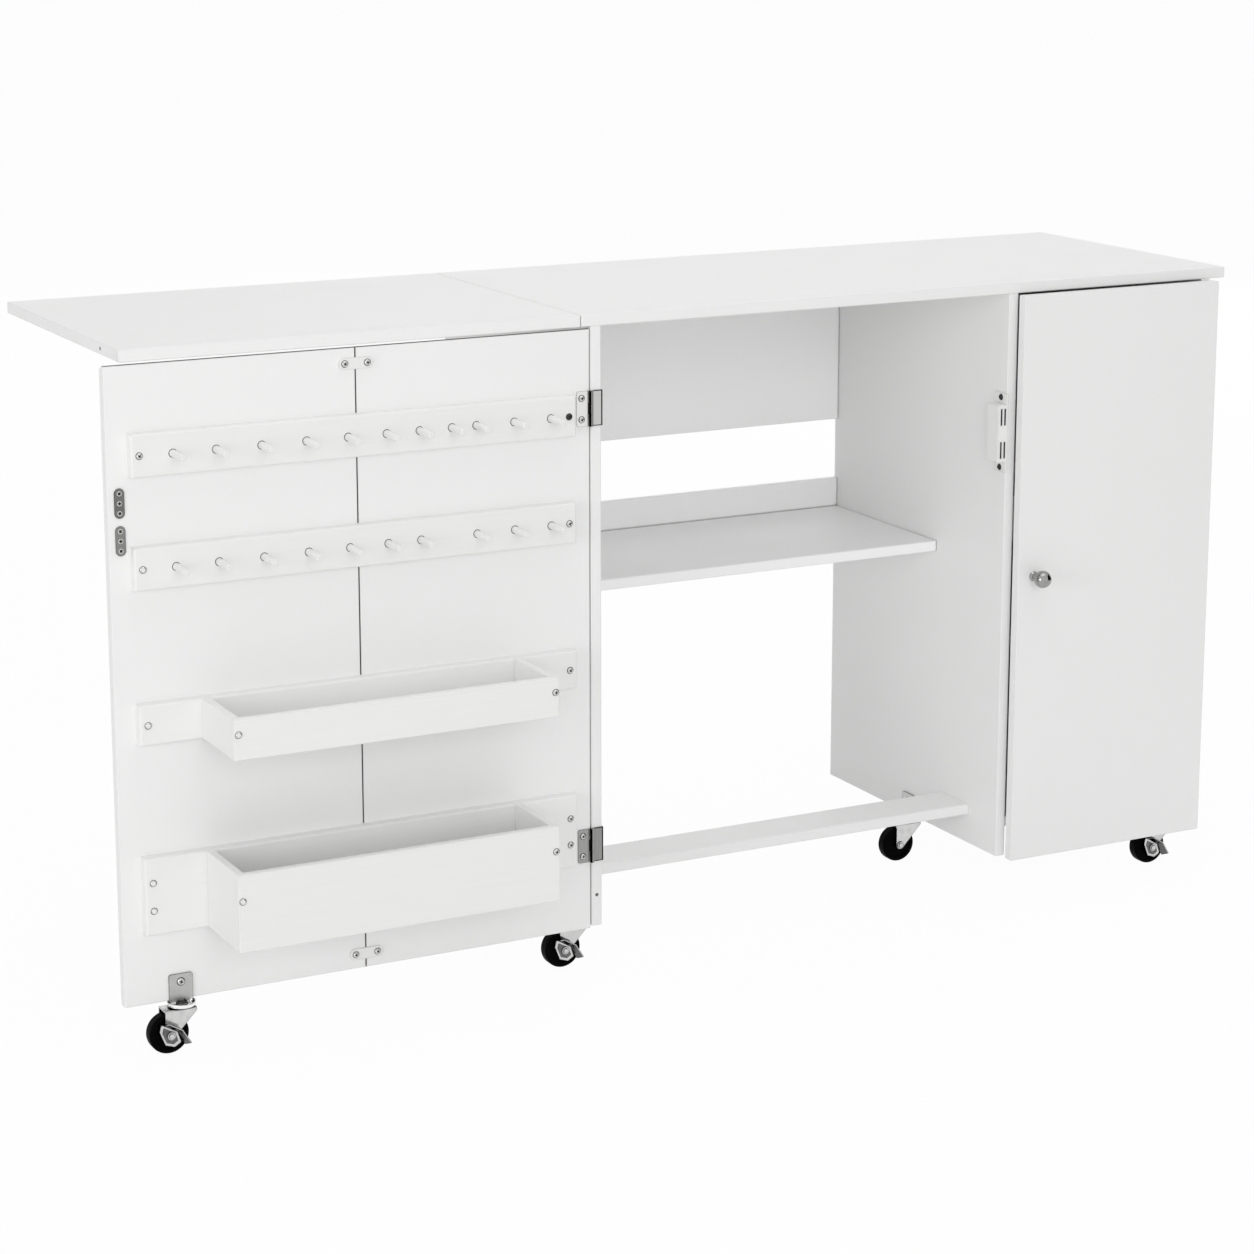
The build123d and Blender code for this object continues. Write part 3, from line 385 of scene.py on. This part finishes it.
# Polished chrome on a zinc casting: a clear grey mirror with hairline polishing marks and slight
# dulling where fingers touch it. The marks are 0.1 mm, drawn at 0.8 mm.
chrome, tree, shader, place = new_finish("polished_chromed_zinc_casting")
marks = add(tree, "ShaderNodeTexNoise", {"Vector": place, "Scale": per_mm(0.8), "Detail": 3.0})
touch = add(tree, "ShaderNodeTexNoise", {"Vector": place, "Scale": per_mm(9), "Detail": 3.0})
# Painted shade: the tint is kept darker than chrome's, standing in for darker reflections round the
# knob.
tint = add(tree, "ShaderNodeMixRGB", {"Fac": touch.outputs["Fac"], "Color1": linear("#868685"),
                                      "Color2": linear("#B2B2B0")})
dulled = add(tree, "ShaderNodeMapRange", {"Value": touch.outputs["Fac"], "To Min": 0.04,
                                          "To Max": 0.16})
hairlines = add(tree, "ShaderNodeBump", {"Height": marks.outputs["Fac"], "Strength": 0.04,
                                         "Distance": 0.0002})
tree.links.new(tint.outputs["Color"], shader.inputs["Base Color"])
tree.links.new(dulled.outputs["Result"], shader.inputs["Roughness"])
tree.links.new(hairlines.outputs["Normal"], shader.inputs["Normal"])
shader.inputs["Metallic"].default_value = 1.0
finish(chrome, "door_knob")


# Casters: pressed brackets and folded forks in bright zinc-plated steel, with black moulded wheels.
# The kingpin is riveted through the dish, and the braked ones have a pressed lever on the axle.

places = ("door", "left_front", "left_rear", "middle", "right_front", "right_rear")
braked = ("door", "left_front", "right_front")


def zinc_plate(name, dark, pale, smooth, dull, drawn=0.0):
    """Zinc-plated steel: a pale grey metal, cloudy over 8 mm from passivation and slightly dented
    by the press every 3 mm. Its thin dark edges, near black corners and dark grey downward faces
    are painted shade. Below a height it is smoother and painted near white, a painted highlight."""
    material, tree, shader, place = new_finish(name)
    clouds = add(tree, "ShaderNodeTexNoise", {"Vector": place, "Scale": per_mm(8), "Detail": 4.0})
    zinc = add(tree, "ShaderNodeMixRGB", {"Fac": clouds.outputs["Fac"], "Color1": linear(dark),
                                          "Color2": linear(pale)})
    level = add(tree, "ShaderNodeSeparateXYZ", {"Vector": place}).outputs["Z"]
    # Below the height, painted highlight: the sheet is painted near white and made smoother.
    polish_and_highlight = add(tree, "ShaderNodeMath", {0: level, 1: drawn}, operation="LESS_THAN").outputs[0]
    bright = add(tree, "ShaderNodeMixRGB", {"Fac": polish_and_highlight, "Color1": zinc.outputs["Color"],
                                            "Color2": linear("#F6F6F5")})
    # Painted shade: a dark line along the edges, left off the highlighted dish.
    edges = add(tree, "ShaderNodeMath", {0: edge_mask(tree, width=0.0010, full=0.95), 1: polish_and_highlight},
                operation="SUBTRACT", use_clamp=True)
    dark_edged = add(tree, "ShaderNodeMixRGB", {"Fac": edges.outputs[0],
                                             "Color1": bright.outputs["Color"],
                                             "Color2": linear("#3A3A3A")})
    # Painted shade: ambient occlusion paints corners and hollows near black.
    corner = add(tree, "ShaderNodeAmbientOcclusion", {"Distance": 0.005}, samples=6)
    corner_shade = add(tree, "ShaderNodeMapRange", {"Value": corner.outputs["AO"], "From Min": 0.72,
                                              "From Max": 0.32})
    corner_shaded = add(tree, "ShaderNodeMixRGB", {"Fac": corner_shade.outputs["Result"],
                                             "Color1": dark_edged.outputs["Color"],
                                             "Color2": linear("#101010")})
    # Painted shade: faces that look down are painted dark grey.
    normal = add(tree, "ShaderNodeTexCoord").outputs["Normal"]
    facing = add(tree, "ShaderNodeSeparateXYZ", {"Vector": normal})
    below = add(tree, "ShaderNodeMapRange", {"Value": facing.outputs["Z"], "From Min": -0.2,
                                             "From Max": -0.5})
    shaded_underside = add(tree, "ShaderNodeMixRGB", {"Fac": below.outputs["Result"],
                                           "Color1": corner_shaded.outputs["Color"],
                                           "Color2": linear("#2B2B2B")})
    spangle = add(tree, "ShaderNodeTexNoise", {"Vector": place, "Scale": per_mm(3), "Detail": 2.0})
    satin = add(tree, "ShaderNodeMapRange", {"Value": clouds.outputs["Fac"], "To Min": smooth,
                                             "To Max": dull})
    smoothing = -0.18
    rough = add(tree, "ShaderNodeMath", {0: polish_and_highlight, 1: smoothing, 2: satin.outputs["Result"]},
                operation="MULTIPLY_ADD")
    dents = add(tree, "ShaderNodeBump", {"Height": spangle.outputs["Fac"], "Strength": 0.12,
                                         "Distance": 0.0003})
    tree.links.new(shaded_underside.outputs["Color"], shader.inputs["Base Color"])
    tree.links.new(rough.outputs[0], shader.inputs["Roughness"])
    tree.links.new(dents.outputs["Normal"], shader.inputs["Normal"])
    shader.inputs["Metallic"].default_value = 1.0
    return material


# The dish below this height takes the painted highlight.
dish_height = 0.005
dish_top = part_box("door_caster_bracket")[0][2] + dish_height
finish(zinc_plate("satin_zinc_plated_steel", "#B0B0AF", "#CACAC9", smooth=0.28, dull=0.42,
                  drawn=dish_top), "caster_brackets", "door_caster_bracket")
finish(zinc_plate("bright_zinc_plated_steel", "#B8B8B8", "#E0E0DF", smooth=0.10, dull=0.24),
       *["caster_fork_" + p for p in places], *["caster_brake_" + p for p in braked])

# Moulded polyamide: deep black with a low gloss, a fine moulded grain and a little floor dust.
# The grain is 0.4 mm, drawn at 1.2 mm.
black_nylon, tree, shader, place = new_finish("black_moulded_polyamide")
dust = add(tree, "ShaderNodeTexNoise", {"Vector": place, "Scale": per_mm(6), "Detail": 5.0})
tint = add(tree, "ShaderNodeMixRGB", {"Fac": dust.outputs["Fac"], "Color1": linear("#020202"),
                                      "Color2": linear("#070707")})
pits = add(tree, "ShaderNodeTexNoise", {"Vector": place, "Scale": per_mm(1.2), "Detail": 1.0})
gloss = add(tree, "ShaderNodeMapRange", {"Value": dust.outputs["Fac"], "To Min": 0.35,
                                         "To Max": 0.55})
grain = add(tree, "ShaderNodeBump", {"Height": pits.outputs["Fac"], "Strength": 0.15,
                                     "Distance": 0.0003})
tree.links.new(tint.outputs["Color"], shader.inputs["Base Color"])
tree.links.new(gloss.outputs["Result"], shader.inputs["Roughness"])
tree.links.new(grain.outputs["Normal"], shader.inputs["Normal"])
shader.inputs["IOR"].default_value = 1.53
shader.inputs["Specular IOR Level"].default_value = 0.02
finish(black_nylon, *["caster_wheel_" + p for p in places])


# Brake pressings: the stamped middle of each brake lever's plate, round the end of the axle.
# Struck in the zinc-plated sheet, and drawn dull and dark grey inside a bright rim.

def outline_of(points):
    """The convex outline, anticlockwise, of points given by x and z."""
    outline = []
    for ordered in (sorted(points), sorted(points, reverse=True)):
        half = []
        for p in ordered:
            while len(half) > 1 and ((half[-1][0] - half[-2][0]) * (p[1] - half[-2][1])
                                     <= (half[-1][1] - half[-2][1]) * (p[0] - half[-2][0])):
                half.pop()
            half.append(p)
        outline += half[:-1]
    return outline


crease = math.radians(35)


def new_piece(name, mesh, materials, body):
    """A finished mesh as a piece that rides on a body."""
    bmesh.ops.recalc_face_normals(mesh, faces=mesh.faces)
    data = bpy.data.meshes.new(name)
    mesh.to_mesh(data)
    mesh.free()
    for polygon in data.polygons:
        polygon.use_smooth = True
    data.set_sharp_from_angle(angle=crease)
    for material in materials:
        data.materials.append(material)
    piece = bpy.data.objects.new(name, data)
    bpy.context.scene.collection.objects.link(piece)
    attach(piece, body)
    return piece


pressing_share = 0.74
pressing_bevel = 0.90
pressing_height = 0.0002
pressing_shoulder = 0.5 * pressing_height
bore_radius = 0.0034
outward = -0.99
# The inside of the pressing is drawn dark grey.
dark_pressed_zinc = zinc_plate("dark_pressed_zinc_plate", "#3E3E3E", "#8C8C8C", smooth=0.3, dull=0.5)
for caster in braked:
    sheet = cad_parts["caster_brake_" + caster].data
    levels = {}
    for polygon in sheet.polygons:
        if polygon.normal.y < outward:
            levels.setdefault(round(polygon.center.y, 4), []).append(polygon)
    plate = max(levels.values(), key=lambda faces: sum(face.area for face in faces))
    face_y = plate[0].center.y
    corners = [sheet.vertices[i].co for polygon in plate for i in polygon.vertices]
    rim = [Vector((x, face_y, z)) for x, z in outline_of([(c.x, c.z) for c in corners])]
    middle = sum(rim, Vector()) / len(rim)
    wheel_low, wheel_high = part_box("caster_wheel_" + caster)
    axle = Vector(((wheel_low[0] + wheel_high[0]) / 2, face_y, (wheel_low[2] + wheel_high[2]) / 2))
    bore = [axle + bore_radius * (corner - axle).normalized() for corner in rim]
    field = [middle.lerp(corner, pressing_share) for corner in rim]
    bevel = [middle.lerp(corner, pressing_share * pressing_bevel) for corner in rim]
    pressing = bmesh.new()
    loops = [[pressing.verts.new(corner - Vector((0, height, 0))) for corner in loop]
             for loop, height in ((bore, -pressing_height), (field, -pressing_height),
                                  (field, pressing_shoulder), (bevel, pressing_height),
                                  (bore, pressing_height))]
    for lower, upper in zip(loops, loops[1:] + loops[:1]):
        for a, b, c, d in zip(lower, lower[1:] + lower[:1], upper[1:] + upper[:1], upper):
            pressing.faces.new((a, b, c, d))
    new_piece("brake_pressing_" + caster, pressing, (dark_pressed_zinc,), "brake_" + caster)


# Screws: steel pan heads with a cross recess, driven through every fitting, and flush heads in the
# strikes. Most are zinc plated and a few drawn dark, and the bracket of the door's caster has a
# wide head. White plastic caps hide the ones at the left ends of the lower strips and bins.

head_radius = 0.0034
head_height = 0.0018
flush_radius = 0.0027
flush_proud = 0.0003
shank_radius = 0.0016
tip_radius = 0.2 * shank_radius
recess_reach = 0.0019
recess_half = 0.00058
flush_recess_half = 0.0009
recess_depth = 0.0011
recess_floor_reach = 0.55
recess_floor_half = 0.6
ring_height = 0.0001
turned_steps = 32
# Profiles from the seat outwards, as shares of a radius and a height.
pan_profile = ((1.0, 0.0), (1.0, 0.3), (0.93, 0.62), (0.80, 0.86), (0.62, 1.0))
flush_profile = ((1.0, 0.0), (1.0, 0.6), (0.92, 1.0))
ring_profile = ((0.97, -1.0), (1.22, -1.0), (1.16, 1.0), (0.97, 1.0))
plated, recessed, ring_shade, dark_steel = range(4)


def loose_solids(name):
    """The corner points of each separate solid in a CAD node."""
    weld = 1e-5
    shape = bmesh.new()
    shape.from_mesh(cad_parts[name].data)
    bmesh.ops.remove_doubles(shape, verts=shape.verts, dist=weld)
    reached = set()
    solids = []
    for start in shape.verts:
        if start in reached:
            continue
        reached.add(start)
        front = [start]
        solid = []
        while front:
            vert = front.pop()
            solid.append(vert.co.copy())
            for edge in vert.link_edges:
                other = edge.other_vert(vert)
                if other not in reached:
                    reached.add(other)
                    front.append(other)
        solids.append(solid)
    shape.free()
    return sorted(solids, key=lambda points: tuple(round(c, 4)
                                                   for c in sum(points, Vector()) / len(points)))


def extent(points):
    """The lowest and the highest corner of a box round some points."""
    return (Vector([min(p[i] for p in points) for i in range(3)]),
            Vector([max(p[i] for p in points) for i in range(3)]))


def screw_spots(name, flush_out):
    """Seat, outward direction, shank length and kind of each screw in a CAD node. Points that stand
    clear of the shank belong to a pan head, and a screw without them is flush."""
    clear_of_shank = 1.3 * shank_radius
    spots = []
    for points in loose_solids(name):
        low, high = extent(points)
        middle = (low + high) / 2
        long_way = max(range(3), key=lambda i: high[i] - low[i])
        length = high[long_way] - low[long_way]
        wide = []
        for point in points:
            across = point - middle
            across[long_way] = 0
            if across.length > clear_of_shank:
                wide.append(point)
        if wide:
            out = Vector([0, 0, 0])
            out[long_way] = math.copysign(1, wide[0][long_way] - middle[long_way])
            length -= head_height
            seat = middle + out * (length / 2 - head_height / 2)
        else:
            out = Vector(flush_out)
            seat = middle + out * length / 2
        spots.append((seat, out, length, not wide))
    return spots


def placed(seat, out):
    """The move that sets a shape turned round z on a seat, facing out."""
    return Matrix.Translation(seat) @ Vector(out).to_track_quat("Z", "Y").to_matrix().to_4x4()


def turn_rings(mesh, profile, turned, closed=False):
    """Rings of points round an axis, one for each radius and height, joined by faces. In a closed
    profile the last ring is joined to the first."""
    rings = []
    for radius, height in profile:
        ring = []
        for i in range(turned_steps):
            angle = 2 * math.pi * i / turned_steps
            point = Vector((radius * math.cos(angle), radius * math.sin(angle), height))
            ring.append(mesh.verts.new(turned @ point))
        rings.append(ring)
    for lower, upper in zip(rings, rings[1:] + (rings[:1] if closed else [])):
        for i in range(turned_steps):
            j = (i + 1) % turned_steps
            mesh.faces.new((lower[i], lower[j], upper[j], upper[i]))
    return rings


def turn_solid(mesh, profile, turned):
    """A turned shape, closed by a face at each end."""
    rings = turn_rings(mesh, profile, turned)
    mesh.faces.new(rings[-1])
    mesh.faces.new(list(reversed(rings[0])))


def cross_loop(mesh, reach, half, height, turned):
    """The outline of a cross recess."""
    corners = []
    for quarter in range(4):
        swing = Matrix.Rotation(quarter * math.pi / 2, 4, "Z")
        for x, y in ((reach, -half), (reach, half), (half, half)):
            corners.append(mesh.verts.new(turned @ swing @ Vector((x, y, height))))
    return corners


def add_shade_ring(mesh, turned, radius, material_index):
    """A low ring round a head, cap or peg, painted darker as shade round its base."""
    before = set(mesh.faces)
    turn_rings(mesh, [(across * radius, up * ring_height) for across, up in ring_profile], turned,
               closed=True)
    for face in set(mesh.faces) - before:
        face.material_index = material_index


def screw_head(mesh, seat, out, length, flush, roll, depth=recess_depth, size=1.0, steel=plated):
    """One screw: a shank, a pan or flush head, and a cross recess sunk in it. A pan head sits in a
    low ring painted dark: painted shade round the head. Size widens the head, and steel is the
    number of its material."""
    turned = placed(seat, out) @ Matrix.Rotation(roll, 4, "Z")
    taper = min(2 * shank_radius, length / 2)
    shank = [(tip_radius, -length), (shank_radius, taper - length), (shank_radius, 0.0)]
    if flush:
        half, top, radius, profile = flush_recess_half, flush_proud, flush_radius, flush_profile
    else:
        half, top, radius, profile = recess_half, head_height, size * head_radius, pan_profile
        add_shade_ring(mesh, turned, radius, ring_shade)
    head = [(across * radius, up * top) for across, up in profile]
    before = set(mesh.faces)
    rings = turn_rings(mesh, shank + head, turned)
    mesh.faces.new(list(reversed(rings[0])))
    mouth = cross_loop(mesh, size * recess_reach, size * half, top, turned)
    floor = cross_loop(mesh, recess_floor_reach * size * recess_reach,
                       recess_floor_half * size * half, top - depth, turned)
    edges = []
    for loop in (rings[-1], mouth):
        edges += [mesh.edges.get((a, b)) or mesh.edges.new((a, b))
                  for a, b in zip(loop, loop[1:] + loop[:1])]
    bmesh.ops.triangle_fill(mesh, edges=edges, use_beauty=True)
    for face in set(mesh.faces) - before:
        face.material_index = steel
    # The recess is painted near black: painted shade in its hollow.
    for a, b, c, d in zip(mouth, mouth[1:] + mouth[:1], floor[1:] + floor[:1], floor):
        mesh.faces.new((a, b, c, d)).material_index = recessed
    mesh.faces.new(floor).material_index = recessed


def screw_steel(name, dark, pale):
    """Plated screw steel: a metal turned in fine rings that dull its shine unevenly over 1.5 mm."""
    material, tree, shader, place = new_finish(name)
    turning = add(tree, "ShaderNodeTexNoise", {"Vector": place, "Scale": per_mm(1.5),
                                               "Detail": 3.0})
    plating = add(tree, "ShaderNodeMixRGB", {"Fac": turning.outputs["Fac"], "Color1": linear(dark),
                                             "Color2": linear(pale)})
    rough = add(tree, "ShaderNodeMapRange", {"Value": turning.outputs["Fac"], "To Min": 0.18,
                                             "To Max": 0.36})
    tree.links.new(plating.outputs["Color"], shader.inputs["Base Color"])
    tree.links.new(rough.outputs["Result"], shader.inputs["Roughness"])
    shader.inputs["Metallic"].default_value = 1.0
    return material


# Most screws are bright zinc. The catch's screws and the last one in the upper rail are drawn dark.
screw_zinc = screw_steel("zinc_plated_screw_steel", "#BEBEBD", "#EAEAE9")
screw_black = screw_steel("dark_screw_steel", "#1C1C1C", "#5A5A59")


def mottled_matt(name, speck, detail, dark, pale, roughness):
    """A dull surface mottled by specks, which are this many millimetres apart."""
    material, tree, shader, place = new_finish(name)
    specks = add(tree, "ShaderNodeTexNoise", {"Vector": place, "Scale": per_mm(speck),
                                              "Detail": detail})
    tint = add(tree, "ShaderNodeMixRGB", {"Fac": specks.outputs["Fac"], "Color1": linear(dark),
                                          "Color2": linear(pale)})
    tree.links.new(tint.outputs["Color"], shader.inputs["Base Color"])
    shader.inputs["Roughness"].default_value = roughness
    return material


# The cross recess: painted near black, as painted shade in its hollow.
# The ring under a head: painted dark grey, as painted shade round the head.
# The ring under a cap: painted pale grey, a faint painted shade round the cap.
recess_shade_paint = mottled_matt("painted_shade_screw_recess", 0.8, 2.0, "#141414", "#333332", roughness=0.7)
ring_shade_paint = mottled_matt("painted_shade_ring", 1, 3.0, "#2A2A29", "#5E5E5C", roughness=0.6)
cap_ring_shade_paint = mottled_matt("painted_pale_shade_ring", 1, 3.0, "#CCCCCA", "#E4E4E2", roughness=0.5)

capped_strips = ("lower_peg_rail", "upper_bin_back", "lower_bin_back", "upper_bin_front",
                 "lower_bin_front")
cap_radius = 0.0035
cap_height = 0.0022
cap_lifts = (0.0, 0.25, 0.5, 0.8, 1.1, 1.35)
cap_profile = [(cap_radius * math.cos(lift), cap_height * math.sin(lift)) for lift in cap_lifts]
cap_reach = 0.02
rail_end_reach = 0.03
seat_gap = 0.002


def is_capped(seat):
    """Whether a screw sits at the left end of a strip or bin front that has a cap there."""
    for strip in capped_strips:
        low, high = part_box(strip)
        on_face = abs(seat.y - low[1]) < seat_gap and low[2] < seat.z < high[2]
        if on_face and 0 < seat.x - low[0] < cap_reach:
            return True
    return False


def is_dark_screw(seat):
    """Whether a screw is in the double catch or at the right-hand end of the upper rail."""
    rail_low, rail_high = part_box("upper_peg_rail")
    catch_low, catch_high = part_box("door_catch")
    on_rail = abs(seat.y - rail_low[1]) < seat_gap and rail_low[2] < seat.z < rail_high[2]
    at_rail_end = on_rail and 0 < rail_high[0] - seat.x < rail_end_reach
    in_catch = all(low - seat_gap < c < high + seat_gap
                   for low, c, high in zip(catch_low, seat, catch_high))
    return at_rail_end or in_catch


def is_wide(seat):
    """Whether a screw holds the bracket of the door's caster, which takes a wide head."""
    low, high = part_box("door_caster_bracket")
    return low[0] < seat.x < high[0] and low[2] < seat.z < high[2]


wide_size = 1.2
rolls = random.Random(11)
caps = bmesh.new()
for node, name, body, flush_out in (
        ("door_screws", "door_screw_set", "swing_door", (0, -1, 0)),
        ("cabinet_screws", "cabinet_screw_set", "cabinet", (0, 1, 0)),
        ("leaf_screws", "leaf_screw_set", "drop_leaf", (0, 0, -1)),
        ("cupboard_door_screws", "cupboard_door_screw_set", "cupboard_door", (0, 1, 0))):
    heads = bmesh.new()
    for seat, out, length, flush in screw_spots(node, flush_out):
        screw_head(heads, seat, out, length, flush, rolls.uniform(0, math.pi / 2),
                   size=wide_size if is_wide(seat) else 1.0,
                   steel=dark_steel if is_dark_screw(seat) else plated)
        if node == "door_screws" and is_capped(seat):
            add_shade_ring(caps, placed(seat, out), cap_radius, material_index=1)
            turn_solid(caps, cap_profile, placed(seat, out))
    screws = new_piece(name, heads, (screw_zinc, recess_shade_paint, ring_shade_paint, screw_black), body)
    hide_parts(node)
new_piece("door_screw_caps", caps, (white_abs, cap_ring_shade_paint), "swing_door")


# Edge plugs: a small plug in the front edge of the left panel and one in the end of the leaf.
# Turned from grey plastic, they close the holes by which the boards hung while they were banded.

grey_plug = moulded_abs("grey_moulded_plug", "#6E6E6C", "#565654", "#3A3A39")
plug_radius = 0.0020
plug_proud = 0.0003
plug_sink = 0.0002
plug_profile = [(plug_radius, -plug_sink), (plug_radius, 0.4 * plug_proud),
                (0.8 * plug_radius, plug_proud), (0.4 * plug_radius, 0.3 * plug_proud)]
panel_low, panel_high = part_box("left_side_panel")
leaf_low, leaf_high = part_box("drop_leaf")
panel_plug_rise = 0.037
leaf_plug_setback = 0.060
for name, body, seat, out in (
        ("panel_edge_plug", "cabinet", ((panel_low[0] + panel_high[0]) / 2, panel_low[1],
                                        panel_low[2] + panel_plug_rise), (0, -1, 0)),
        ("leaf_edge_plug", "drop_leaf", (leaf_low[0], leaf_low[1] + leaf_plug_setback,
                                         (leaf_low[2] + leaf_high[2]) / 2), (-1, 0, 0))):
    plug = bmesh.new()
    turn_solid(plug, plug_profile, placed(seat, out))
    new_piece(name, plug, (grey_plug,), body)


# Strike rivets: one small rivet in the middle of each strike plate, between its two screws.
# Bright zinc-plated steel, set flush, with a shallow recess painted black as shade.

rivets = bmesh.new()
rivet_length = 0.0008
rivet_depth = 0.00022
for points in loose_solids("catch_strikes"):
    low, high = extent(points)
    seat = Vector(((low.x + high.x) / 2, low.y, (low.z + high.z) / 2))
    screw_head(rivets, seat, (0, -1, 0), rivet_length, flush=True, roll=0.0, depth=rivet_depth)
new_piece("strike_rivets", rivets, (screw_zinc, recess_shade_paint), "swing_door")


# Peg collars: a narrow ring round the base of each peg where it enters its rail.
# It is painted dark grey, as painted shade in the corner round the peg.

collars = bmesh.new()
peg_seat = 0.008
for points in loose_solids("spool_pegs"):
    low, high = extent(points)
    seat = Vector(((low.x + high.x) / 2, high.y - peg_seat, (low.z + high.z) / 2))
    # Painted shade round the base of each peg.
    add_shade_ring(collars, placed(seat, (0, -1, 0)), (high.x - low.x) / 2, material_index=0)
new_piece("peg_collars", collars, (ring_shade_paint,), "swing_door")


# Studio: a white floor that keeps the table's soft shadow and is clear from below, large soft lamps
# overhead, in front, at the left and behind, and a white surround that the camera and metals see.

floor_mesh = bpy.data.meshes.new("studio_floor")
floor_half = 30.0
floor_mesh.from_pydata([(-floor_half, -floor_half, 0), (floor_half, -floor_half, 0),
                        (floor_half, floor_half, 0), (-floor_half, floor_half, 0)], [],
                       [(0, 1, 2, 3)])
floor = bpy.data.objects.new("studio_floor", floor_mesh)
bpy.context.scene.collection.objects.link(floor)


def seen_rays(tree):
    """One for rays that show a thing to the camera, directly or mirrored, and zero for the rest."""
    rays = add(tree, "ShaderNodeLightPath")
    seen = add(tree, "ShaderNodeMath", {0: rays.outputs["Is Camera Ray"],
                                        1: rays.outputs["Is Glossy Ray"]}, operation="MAXIMUM")
    return add(tree, "ShaderNodeMath", {0: seen.outputs[0], 1: rays.outputs["Is Transmission Ray"]},
               operation="MAXIMUM").outputs[0]


# White floor paper: matt, but shown almost as white as the surround, so only its shadow is left.
floor_paint = bpy.data.materials.new("white_studio_floor")
floor_paint.use_nodes = True
tree = floor_paint.node_tree
tree.nodes.clear()
glow_share = 0.96
matt = add(tree, "ShaderNodeBsdfDiffuse", {"Color": linear("#F4F4F4")})
glow = add(tree, "ShaderNodeEmission", {"Color": linear("#FFFFFF"), "Strength": 1.0})
share = add(tree, "ShaderNodeMath", {0: seen_rays(tree), 1: glow_share}, operation="MULTIPLY")
lit = add(tree, "ShaderNodeMixShader", {0: share.outputs[0], 1: matt.outputs[0],
                                        2: glow.outputs[0]})
below = add(tree, "ShaderNodeNewGeometry").outputs["Backfacing"]
clear = add(tree, "ShaderNodeBsdfTransparent")
sheet = add(tree, "ShaderNodeMixShader", {0: below, 1: lit.outputs[0], 2: clear.outputs[0]})
add(tree, "ShaderNodeOutputMaterial", {"Surface": sheet.outputs[0]})
floor_mesh.materials.append(floor_paint)

world = bpy.data.worlds.new("studio")
bpy.context.scene.world = world
world.use_nodes = True
tree = world.node_tree
tree.nodes.clear()
dim = add(tree, "ShaderNodeBackground", {"Color": linear("#FFFFFF"), "Strength": 0.54})
white = add(tree, "ShaderNodeBackground", {"Color": linear("#FFFFFF"), "Strength": 1.0})
sky = add(tree, "ShaderNodeMixShader", {0: seen_rays(tree), 1: dim.outputs[0], 2: white.outputs[0]})
add(tree, "ShaderNodeOutputWorld", {"Surface": sky.outputs[0]})


def soft_lamp(name, place, width, watts, mirrored, aim=(0, 0, 0.4)):
    """A square lamp. One that isn't mirrored lights the boards but leaves no glare on them."""
    lamp = bpy.data.objects.new(name, bpy.data.lights.new(name, "AREA"))
    lamp.data.size = width
    lamp.data.energy = watts
    lamp.location = place
    lamp.rotation_euler = (Vector(aim) - Vector(place)).to_track_quat("-Z", "Y").to_euler()
    lamp.visible_glossy = mirrored
    bpy.context.scene.collection.objects.link(lamp)


soft_lamp("overhead_lamp", (0.0, -0.4, 3.6), width=2.8, watts=25, mirrored=True)
soft_lamp("front_lamp", (-1.4, -5.8, 1.9), width=2.6, watts=72, mirrored=False)
soft_lamp("left_lamp", (-3.8, -1.7, 1.0), width=1.6, watts=27, mirrored=True)
soft_lamp("back_lamp", (3.0, 4.5, 2.0), width=3.0, watts=60, mirrored=False)

# A dark card at the right, which only the metals see, so that their curves show a dark side.
card_mesh = bpy.data.meshes.new("dark_card")
card_mesh.from_pydata([(2.3, -2.6, 0.05), (2.6, 0.2, 0.05), (2.6, 0.2, 2.2), (2.3, -2.6, 2.2)], [],
                      [(0, 1, 2, 3)])
card = bpy.data.objects.new("dark_card", card_mesh)
bpy.context.scene.collection.objects.link(card)
card_paint = bpy.data.materials.new("black_studio_card")
card_paint.use_nodes = True
tree = card_paint.node_tree
tree.nodes.clear()
felt = add(tree, "ShaderNodeBsdfDiffuse", {"Color": linear("#1A1A1A")})
add(tree, "ShaderNodeOutputMaterial", {"Surface": felt.outputs[0]})
card_mesh.materials.append(card_paint)
card.visible_camera = False
card.visible_diffuse = False
card.visible_transmission = False
card.visible_shadow = False

tilt_down = 12.257
turn_right = 27.365
camera = bpy.data.objects.new("camera", bpy.data.cameras.new("camera"))
camera.data.sensor_width = 36.0
camera.data.lens = 91.07
camera.data.shift_y = -0.08
camera.location = (-1.714, -3.2402, 1.2823)
camera.rotation_euler = (math.radians(90 - tilt_down), 0, math.radians(-turn_right))
bpy.context.scene.collection.objects.link(camera)
bpy.context.scene.camera = camera
bpy.context.scene.view_settings.view_transform = "Standard"
